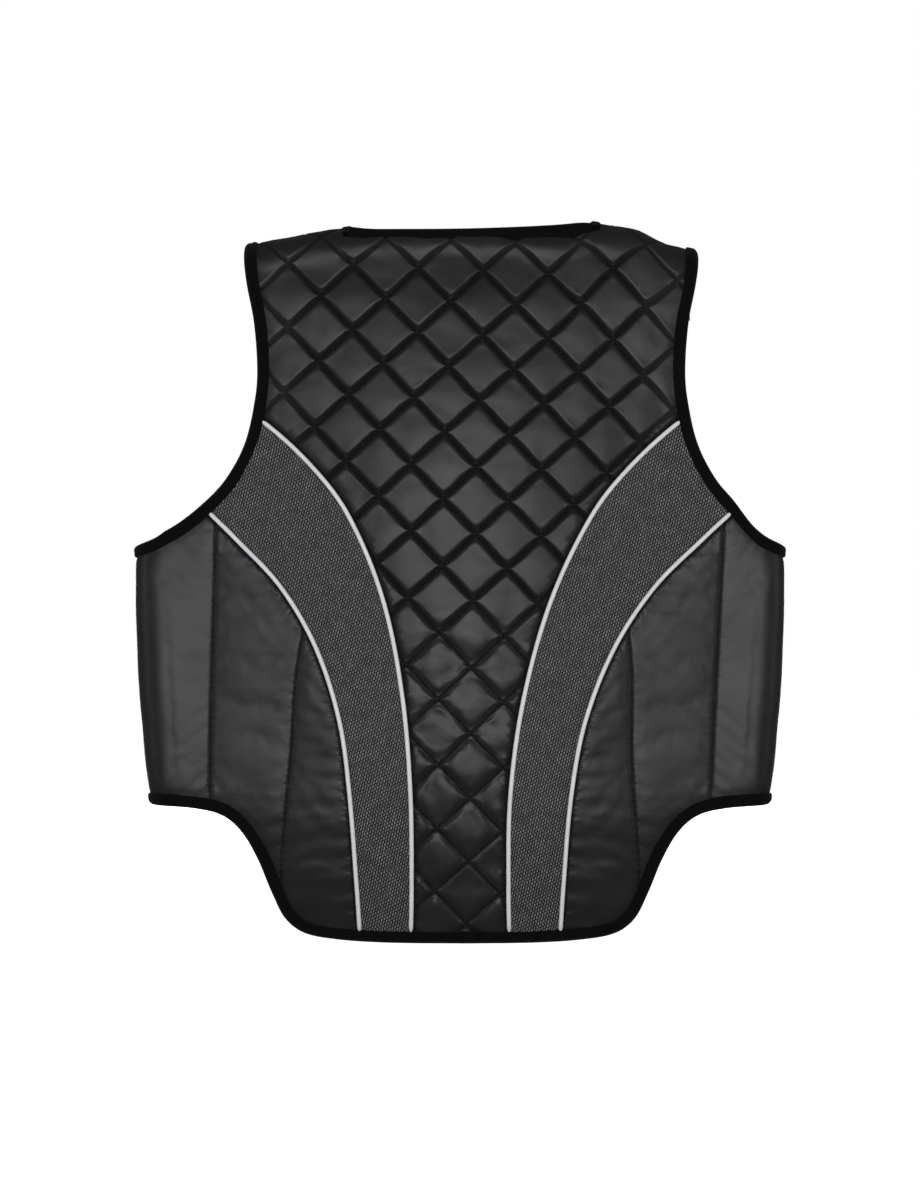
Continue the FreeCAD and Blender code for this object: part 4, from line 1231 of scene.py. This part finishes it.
def made_strap(side, sign):
    """A shoulder strap: a thin satin pad with a bound edge, sewn on by a rolled lower end."""
    edge = strap_outline(1.2)
    foot = np.array([(x, STRAP_LOW) for x in np.arange(STRAP_INNER - 4, STRAP_OUTER + 4, 2.0)])
    sides = [np.array([(x, z) for z in np.arange(STRAP_LOW - 2, 456, 1.0)])
             for x in (STRAP_INNER + 1.2, STRAP_OUTER - 1.2)]

    def inside(x, z):
        corner = STRAP_CORNER - 1.2
        dx = np.maximum(np.abs(x - (STRAP_INNER + STRAP_OUTER) / 2) - 26.8 + corner, 0)
        dz = np.maximum(z - STRAP_HIGH + 1.2 + corner, 0)
        return (np.hypot(dx, dz) < corner) & (z > STRAP_LOW)

    def face(x, z):
        places = np.column_stack([x, z])
        roll = np.sqrt(np.clip(1 - ((z - STRAP_HINGE) / STRAP_ROLL) ** 2, 0, 1)) * STRAP_ROLL
        rise = smooth((z - STRAP_HINGE - 0.5) / 4)
        flat_face = STRAP_OUTER_FACE + 0.5 + 0.25 * ripple(x, z, 30, 81) - 0.5 * np.sin(
            np.pi * np.clip((x - STRAP_INNER) / (STRAP_OUTER - STRAP_INNER), 0, 1))
        flat_face = flat_face + edge_fall(places, edge, 7, 0.7)
        return (-STRAP_STAND_OFF - roll) * (1 - rise) + flat_face * rise, roll, rise

    inner = grid(STRAP_INNER, STRAP_OUTER, STRAP_LOW, STRAP_HIGH, 2.4)
    levels = np.array([(x, z) for x in np.arange(102, 155, 2.4) for z in (448.6, 449.5, 450.8)])
    inner = np.vstack([inner[inner[:, 1] > 452], levels])
    flat, faces = triangles([edge, foot, *sides], inner, inside)
    outer, roll, rise = face(*flat.T)
    under = (-STRAP_STAND_OFF + roll) * (1 - rise) + STRAP_UNDER_FACE * rise
    strap = pad(f"{side}_shoulder_strap", flat, faces, front_skin, outer, under, sign)
    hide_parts(f"{side}_shoulder_tab")
    path = strap_outline(0)
    binding = merged(f"{side}_shoulder_strap_binding", [
        band(path, inward(path), front_skin, STRAP_BINDING, sign, seed=83,
             section=thin_section(STRAP_OUTER_FACE - 0.2, STRAP_UNDER_FACE))])
    rim = strap_outline(STRAP_BINDING + 3)
    box = np.array([(109, 490), (147, 490), (147, 523), (109, 523), (109, 490), (147, 523)])
    cross = np.array([(147, 490), (109, 523)])
    lines = [rim, curve_resampled(box, 1.5), curve_resampled(cross, 1.5)]
    thread = stitches(f"{side}_shoulder_strap_stitching", lines, front_skin,
                      lambda x, z: face(x, z)[0] - COVER_STITCH_PROUD, sign=sign)
    for piece in (strap, binding, thread):
        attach(piece, f"{side}_shoulder_tab")
    return strap, binding, thread


# ---------------------------------------------------------------- materials
SATIN_BASE, SATIN_GLOSS, SATIN_ROUGHNESS = 0.0135, 0.27, 0.42


def feed(tree, sockets, values):
    """Sets input sockets to numbers or colours, or links them to the sockets that feed them."""
    for socket, value in zip(sockets, values):
        if isinstance(value, bpy.types.NodeSocket):
            tree.links.new(value, socket)
        else:
            socket.default_value = value


def set_inputs(tree, node, **values):
    feed(tree, [node.inputs[key.replace("_", " ")] for key in values], values.values())


def put(tree, kind, *by_place, settings=None, **by_name):
    """A shader node with its inputs given by place or by name."""
    made = tree.nodes.new("ShaderNode" + kind)
    for key, value in (settings or {}).items():
        setattr(made, key, value)
    feed(tree, made.inputs, by_place)
    set_inputs(tree, made, **by_name)
    return made


def grey(value, tint=(1, 1, 1)):
    return (value * tint[0], value * tint[1], value * tint[2], 1)


def math_node(tree, operation, *values):
    return put(tree, "Math", *values, settings={"operation": operation}).outputs[0]


def add(tree, first, second):
    return math_node(tree, "ADD", first, second)


def times(tree, first, second):
    return math_node(tree, "MULTIPLY", first, second)


MIX_INPUTS = (0, 6, 7)         # a colour mix's share and two colours among its inputs


def mix_colour(tree, share, first, second):
    made = put(tree, "Mix", settings={"data_type": "RGBA"})
    feed(tree, [made.inputs[place] for place in MIX_INPUTS], (share, first, second))
    return made.outputs[2]


def cloth_space(tree, on_cad):
    """Places on the cloth in metres: its own map, or across and up for a CAD node."""
    if not on_cad:
        return put(tree, "UVMap", settings={"uv_map": "cloth"}).outputs[0]
    place_at = put(tree, "TexCoord").outputs["Object"]
    split = put(tree, "SeparateXYZ", place_at)
    return put(tree, "CombineXYZ", split.outputs[0], split.outputs[2], split.outputs[1]).outputs[0]


def turned(tree, where, angle, scale=(1, 1, 1)):
    return put(tree, "Mapping", Vector=where, Rotation=(0, 0, math.radians(angle)),
               Scale=scale).outputs[0]


def stripes(tree, where, pitch, direction="X", distortion=0.0):
    return put(tree, "TexWave", Vector=where, Scale=math.pi / 10 / pitch, Distortion=distortion,
               Detail=1.0, settings={"bands_direction": direction}).outputs["Fac"]


def noise(tree, where, size, detail=3.0):
    return put(tree, "TexNoise", Vector=where, Scale=1 / size, Detail=detail).outputs["Fac"]


def ramp(tree, share, low, high):
    return put(tree, "MapRange", Value=share, From_Min=low, From_Max=high).outputs[0]


def finish_material(name, build, on_cad=False):
    made = bpy.data.materials.new(name)
    made.use_nodes = True
    tree = made.node_tree
    tree.nodes.clear()
    shader = put(tree, "BsdfPrincipled")
    build(tree, shader, cloth_space(tree, on_cad))
    out = put(tree, "OutputMaterial")
    tree.links.new(shader.outputs[0], out.inputs[0])
    return made


def bump(tree, height, size, strength=1.0):
    return put(tree, "Bump", Height=height, Distance=size, Strength=strength).outputs[0]


def satin(tree, shader, where):
    """Tightly woven satin: fine diagonal floats, soft uneven gloss, and painted shade that darkens the stitched
    grooves and dims their gloss.
    """
    broad, fine = noise(tree, where, 0.045), noise(tree, where, 0.006, 2)
    warp = stripes(tree, turned(tree, where, 32), 0.0011, "X", 0.6)
    weft = stripes(tree, turned(tree, where, 32), 0.0017, "Y", 0.6)
    weave = times(tree, warp, weft)
    tone = mix_colour(tree, ramp(tree, broad, 0.3, 0.7), grey(SATIN_BASE * 0.9, (0.99, 1, 1.08)),
                      grey(SATIN_BASE * 1.12, (0.99, 1, 1.07)))
    tone = mix_colour(tree, times(tree, weave, 0.25), tone, grey(SATIN_BASE * 1.8))
    # painted shade: the groove mark darkens the satin where shade falls in the quilting's grooves, along stitched
    # lines and beside piped seams
    groove = put(tree, "Attribute", settings={"attribute_name": "groove"}).outputs["Fac"]
    tone = mix_colour(tree, times(tree, groove, 0.72), tone, grey(SATIN_BASE * 0.22))
    rough = add(tree, ramp(tree, broad, -2.0, 6.0), SATIN_ROUGHNESS - 0.3)
    rough = add(tree, rough, times(tree, groove, 0.35))
    height = add(tree, times(tree, weave, 0.25), fine)
    # painted shade on the reflection: the groove mark also dims the gloss there
    gloss = math_node(tree, "SUBTRACT", SATIN_GLOSS, times(tree, groove, SATIN_GLOSS * 0.8))
    set_inputs(tree, shader, Base_Color=tone, Roughness=rough, Specular_IOR_Level=gloss,
               Normal=bump(tree, height, 0.00012))


def air_mesh(tree, shader, where):
    """Open warp-knit mesh: staggered pale yarn loops over a dark ground, in upright ribs."""
    leaning = turned(tree, where, 102, (1, 1, 1))
    bricks = put(tree, "TexBrick", Vector=leaning, Color1=grey(1), Color2=grey(0.55),
                 Mortar=grey(0), Scale=1.0, Mortar_Size=0.00055, Mortar_Smooth=0.3, Bias=0.0,
                 Brick_Width=0.0031, Row_Height=0.00195, settings={"offset": 0.5})
    loops = bricks.outputs["Color"]
    uneven = ramp(tree, noise(tree, where, 0.012), 0.25, 0.8)
    yarn = mix_colour(tree, uneven, grey(0.17), grey(0.27))
    tone = mix_colour(tree, loops, grey(0.010), yarn)
    set_inputs(tree, shader, Base_Color=tone, Roughness=0.7, Specular_IOR_Level=0.25,
               Normal=bump(tree, loops, 0.0004, 0.7))


def knit_tape(base, pitch=0.0009):
    """Edge binding: a ribbed knitted tape, matt and nearly black."""
    def build(tree, shader, where):
        rib = stripes(tree, where, pitch, "Y", 0.4)
        row = stripes(tree, where, pitch * 1.4, "X", 0.4)
        fuzz = noise(tree, where, 0.002)
        height = add(tree, times(tree, rib, 0.6), add(tree, times(tree, row, 0.3), fuzz))
        tone = mix_colour(tree, rib, grey(base * 0.7), grey(base * 1.3))
        set_inputs(tree, shader, Base_Color=tone, Roughness=0.9, Specular_IOR_Level=0.08,
                   Normal=bump(tree, height, 0.00025, 0.8), Sheen_Weight=0.03)
    return build


def reflective(tree, shader, where):
    """Piping cover: fine glass-bead fabric, pale silver, with a faint cross grid."""
    grid_x, grid_y = stripes(tree, where, 0.0012, "X"), stripes(tree, where, 0.0012, "Y")
    beads = noise(tree, where, 0.0008, 2)
    mesh = times(tree, grid_x, grid_y)
    dirt = ramp(tree, noise(tree, where, 0.02), 0.35, 0.75)
    tone = mix_colour(tree, dirt, grey(0.80, (0.97, 0.98, 1.04)), grey(0.9, (0.98, 0.98, 1.03)))
    tone = mix_colour(tree, times(tree, mesh, 0.12), tone, grey(0.6))
    set_inputs(tree, shader, Base_Color=tone, Roughness=0.42, Sheen_Weight=0.2,
               Normal=bump(tree, add(tree, mesh, beads), 0.00012, 0.6))


def thread_finish(base):
    def build(tree, shader, where):
        twist = stripes(tree, turned(tree, where, 40), 0.0005, "X")
        tone = mix_colour(tree, twist, grey(base * 0.6), grey(base * 1.5))
        set_inputs(tree, shader, Base_Color=tone, Roughness=0.6, Specular_IOR_Level=0.3,
                   Normal=bump(tree, twist, 0.0001))
    return build


def lining_mesh(tree, shader, where):
    """Lining: a knitted mesh with small round holes."""
    holes = put(tree, "TexVoronoi", Vector=where, Scale=1 / 0.0028, Randomness=0.15).outputs[0]
    open_part = ramp(tree, holes, 0.22, 0.34)
    uneven = noise(tree, where, 0.03)
    tone = mix_colour(tree, uneven, grey(0.028), grey(0.042))
    tone = mix_colour(tree, open_part, grey(0.008), tone)
    set_inputs(tree, shader, Base_Color=tone, Roughness=0.85, Specular_IOR_Level=0.2,
               Normal=bump(tree, open_part, 0.0004), Sheen_Weight=0.05)


def foam(tree, shader, where):
    """Closed-cell foam: fine bubbles of uneven size."""
    cells = put(tree, "TexVoronoi", Vector=where, Scale=1 / 0.0015).outputs[0]
    tone = mix_colour(tree, noise(tree, where, 0.01), grey(0.05), grey(0.08))
    set_inputs(tree, shader, Base_Color=tone, Roughness=0.95, Normal=bump(tree, cells, 0.0003))


def hook_and_loop(tree, shader, where):
    """Hook and loop tape: a dense tangle of short fibres in faint rows."""
    tangle, rows = noise(tree, where, 0.0011, 6), stripes(tree, where, 0.0016, "Y", 3.0)
    height = add(tree, tangle, times(tree, rows, 0.4))
    tone = mix_colour(tree, height, grey(0.008), grey(0.03))
    set_inputs(tree, shader, Base_Color=tone, Roughness=0.95, Sheen_Weight=0.3,
               Normal=bump(tree, height, 0.0006))


def label_cloth(tree, shader, where):
    """Blank woven label: smooth pale grey taffeta with a fine plain weave."""
    weave = times(tree, stripes(tree, where, 0.0007), stripes(tree, where, 0.0007, "Y"))
    tone = mix_colour(tree, weave, grey(0.42), grey(0.58))
    set_inputs(tree, shader, Base_Color=tone, Roughness=0.6, Normal=bump(tree, weave, 0.0001))


def moulded_plastic(tree, shader, where):
    """Moulded zip plastic: faint flow marks and a spark-eroded grain, worn paler in spots."""
    grain, worn = noise(tree, where, 0.0007, 4), ramp(tree, noise(tree, where, 0.006), 0.62, 0.8)
    tone = mix_colour(tree, worn, grey(0.014), grey(0.035))
    set_inputs(tree, shader, Base_Color=tone, Normal=bump(tree, grain, 0.00006),
               Roughness=add(tree, times(tree, grain, 0.25), 0.28))


def coated_metal(tree, shader, where):
    """Black-lacquered zip metal: glossy, with brushed streaks and a few rubbed places."""
    brushed = noise(tree, turned(tree, where, 0, (1, 14, 1)), 0.003, 4)
    rubbed = ramp(tree, noise(tree, where, 0.004), 0.62, 0.72)
    tone = mix_colour(tree, rubbed, grey(0.03), grey(0.32))
    set_inputs(tree, shader, Base_Color=tone, Normal=bump(tree, brushed, 0.00004),
               Metallic=add(tree, times(tree, rubbed, 0.6), 0.4),
               Roughness=add(tree, times(tree, brushed, 0.25), 0.22))


SLOT_FINISHES = {
    "quilted_satin": satin,
    "side_satin": satin,
    "air_mesh": air_mesh,
    "reflective_piping": reflective,
    "protective_foam": foam,
    "lining_mesh": lining_mesh,
    "edge_binding": knit_tape(0.003),
    "hook_and_loop": hook_and_loop,
    "label_cloth": label_cloth,
    "zip_tape_cloth": knit_tape(0.010, 0.0006),
    "zip_plastic": moulded_plastic,
    "zip_metal": coated_metal,
}
thread_material = finish_material("stitching_thread", thread_finish(0.011))
cloth_materials = {}


def dress(piece, slot_name, material=None):
    """Gives a new piece its slot and finish."""
    if material is None:
        if slot_name not in cloth_materials:
            cloth_materials[slot_name] = finish_material(
                slot_name + "_cloth", SLOT_FINISHES[slot_name])
        material = cloth_materials[slot_name]
    piece.data.materials.clear()
    piece.data.materials.append(material)


# ---------------------------------------------------------------- build
back_quilt, back_thread = made_back_quilt()
dress(back_quilt, "quilted_satin")
dress(back_thread, "quilted_satin", thread_material)
dress(made_hem_binding(), "edge_binding")
dress(made_neck_binding(), "edge_binding")


def hang_lining(lining, flat, faces, rests_on):
    dress(lining, "lining_mesh")


hang_lining(*made_back_lining(), back_quilt)

for side, sign in (("right", 1), ("left", -1)):
    dress(made_mesh_band(side, sign), "air_mesh")
    panel, thread = made_back_side(side, sign)
    dress(panel, "side_satin")
    dress(thread, "side_satin", thread_material)
    dress(made_piping(f"{side}_piping", sign, back_skin, "back", in_back,
                      f"{side}_back_piping"), "reflective_piping")
    dress(made_arm_binding(side, sign), "edge_binding")
    dress(made_fold_binding(side, sign), "edge_binding")
    hang_lining(*made_fold_lining(side, sign), panel)
    pieces, thread, lining, cut = made_front(side, sign)
    for piece, slot_name in zip(pieces, ("quilted_satin", "air_mesh", "side_satin")):
        dress(piece, slot_name)
    dress(thread, "quilted_satin", thread_material)
    hang_lining(lining, *cut, pieces[0])
    dress(made_piping(f"{side}_front_cords", sign, front_skin, f"{side}_front", in_front,
                      f"{side}_front_piping"), "reflective_piping")
    dress(made_front_binding(side, sign), "edge_binding")
    for made_cover in (made_flap, made_strap):
        shell, binding, thread = made_cover(side, sign)
        dress(shell, "side_satin")
        dress(binding, "edge_binding")
        dress(thread, "side_satin", thread_material)

# CAD nodes that stay as they are get the same finishes
node_slots = {part["node"]: part["material_slot"] for part in frame["record"]["subparts"]}
cad_materials = {}
for name, node in frame["nodes"].items():
    slot_name = node_slots.get(name)
    if node.hide_render or slot_name is None:
        continue
    if slot_name not in cad_materials:
        cad_materials[slot_name] = finish_material(
            slot_name + "_cad", SLOT_FINISHES[slot_name], True)
    node.data.materials.clear()
    node.data.materials.append(cad_materials[slot_name])

# ---------------------------------------------------------------- studio
MM_PER_FRAME_PIXEL = 0.8
FRAME_HIGH = 1200 * MM_PER_FRAME_PIXEL
CAMERA_AWAY, CAMERA_HEIGHT = 4500.0, 275.5
TRUE_SCALE_AT = -10.0          # the depth at which a frame pixel is MM_PER_FRAME_PIXEL wide
FLOOR_HALF, FLOOR_HEIGHT = 9.0, -12.0    # in metres and in millimetres
LIGHT_AIM = (0, 0, 300)
# name, place, width and height in metres, power in watts
LIGHTS = [("key", (0, -5200, 300), 3.0, 1.3, 225),
          ("left_fill", (-3200, -900, 500), 1.2, 1.8, 14),
          ("right_fill", (3200, -900, 500), 1.2, 1.8, 14),
          ("front_fill", (0, 3600, 500), 2.4, 1.4, 100)]


def made_camera(scene):
    camera = bpy.data.objects.new("camera", bpy.data.cameras.new("camera"))
    scene.collection.objects.link(camera)
    camera.location = place([[0, -CAMERA_AWAY, CAMERA_HEIGHT]])[0]
    camera.rotation_euler = (math.pi / 2, 0, 0)
    camera.data.sensor_width = 36
    camera.data.lens = 36 * (CAMERA_AWAY + TRUE_SCALE_AT) / FRAME_HIGH
    camera.data.clip_end = 50
    scene.camera = camera


def made_floor(scene):
    """A floor that looks white but throws little light back up."""
    mesh = bpy.data.meshes.new("floor")
    low = place([[0, 0, FLOOR_HEIGHT]])[0][2]
    corners = [(-FLOOR_HALF, -FLOOR_HALF, low), (FLOOR_HALF, -FLOOR_HALF, low),
               (FLOOR_HALF, FLOOR_HALF, low), (-FLOOR_HALF, FLOOR_HALF, low)]
    mesh.from_pydata(corners, [], [(0, 1, 2, 3)])
    floor = bpy.data.objects.new("floor", mesh)
    scene.collection.objects.link(floor)
    material = bpy.data.materials.new("floor")
    material.use_nodes = True
    tree = material.node_tree
    seen = put(tree, "LightPath").outputs["Is Camera Ray"]
    glow = put(tree, "MapRange", Value=seen, To_Min=0.03, To_Max=1.0).outputs[0]
    set_inputs(tree, tree.nodes["Principled BSDF"], Base_Color=grey(0.35), Roughness=1.0,
               Specular_IOR_Level=0.0, Emission_Color=grey(1), Emission_Strength=glow)
    mesh.materials.append(material)


def made_lights(scene):
    aim = Vector(place([LIGHT_AIM])[0])
    for name, spot, width, height, power in LIGHTS:
        data = bpy.data.lights.new(name, "AREA")
        data.shape, data.size, data.size_y, data.energy = "RECTANGLE", width, height, power
        light = bpy.data.objects.new(name, data)
        light.location = place([spot])[0]
        light.rotation_euler = (aim - Vector(place([spot])[0])).to_track_quat("-Z", "Y").to_euler()
        scene.collection.objects.link(light)


def made_world(scene):
    """White to the camera, dim to the vest."""
    world = bpy.data.worlds.new("studio")
    scene.world = world
    world.use_nodes = True
    tree = world.node_tree
    tree.nodes.clear()
    seen = put(tree, "Background", Color=grey(1), Strength=1.0).outputs[0]
    lit = put(tree, "Background", Color=grey(1), Strength=0.14).outputs[0]
    share = put(tree, "LightPath").outputs["Is Camera Ray"]
    both_ways = put(tree, "MixShader", share, lit, seen).outputs[0]
    tree.links.new(both_ways, put(tree, "OutputWorld").inputs[0])


the_scene = bpy.context.scene
for make in (made_camera, made_floor, made_lights, made_world):
    make(the_scene)
the_scene.view_settings.view_transform = "Standard"
the_scene.view_settings.look = "None"
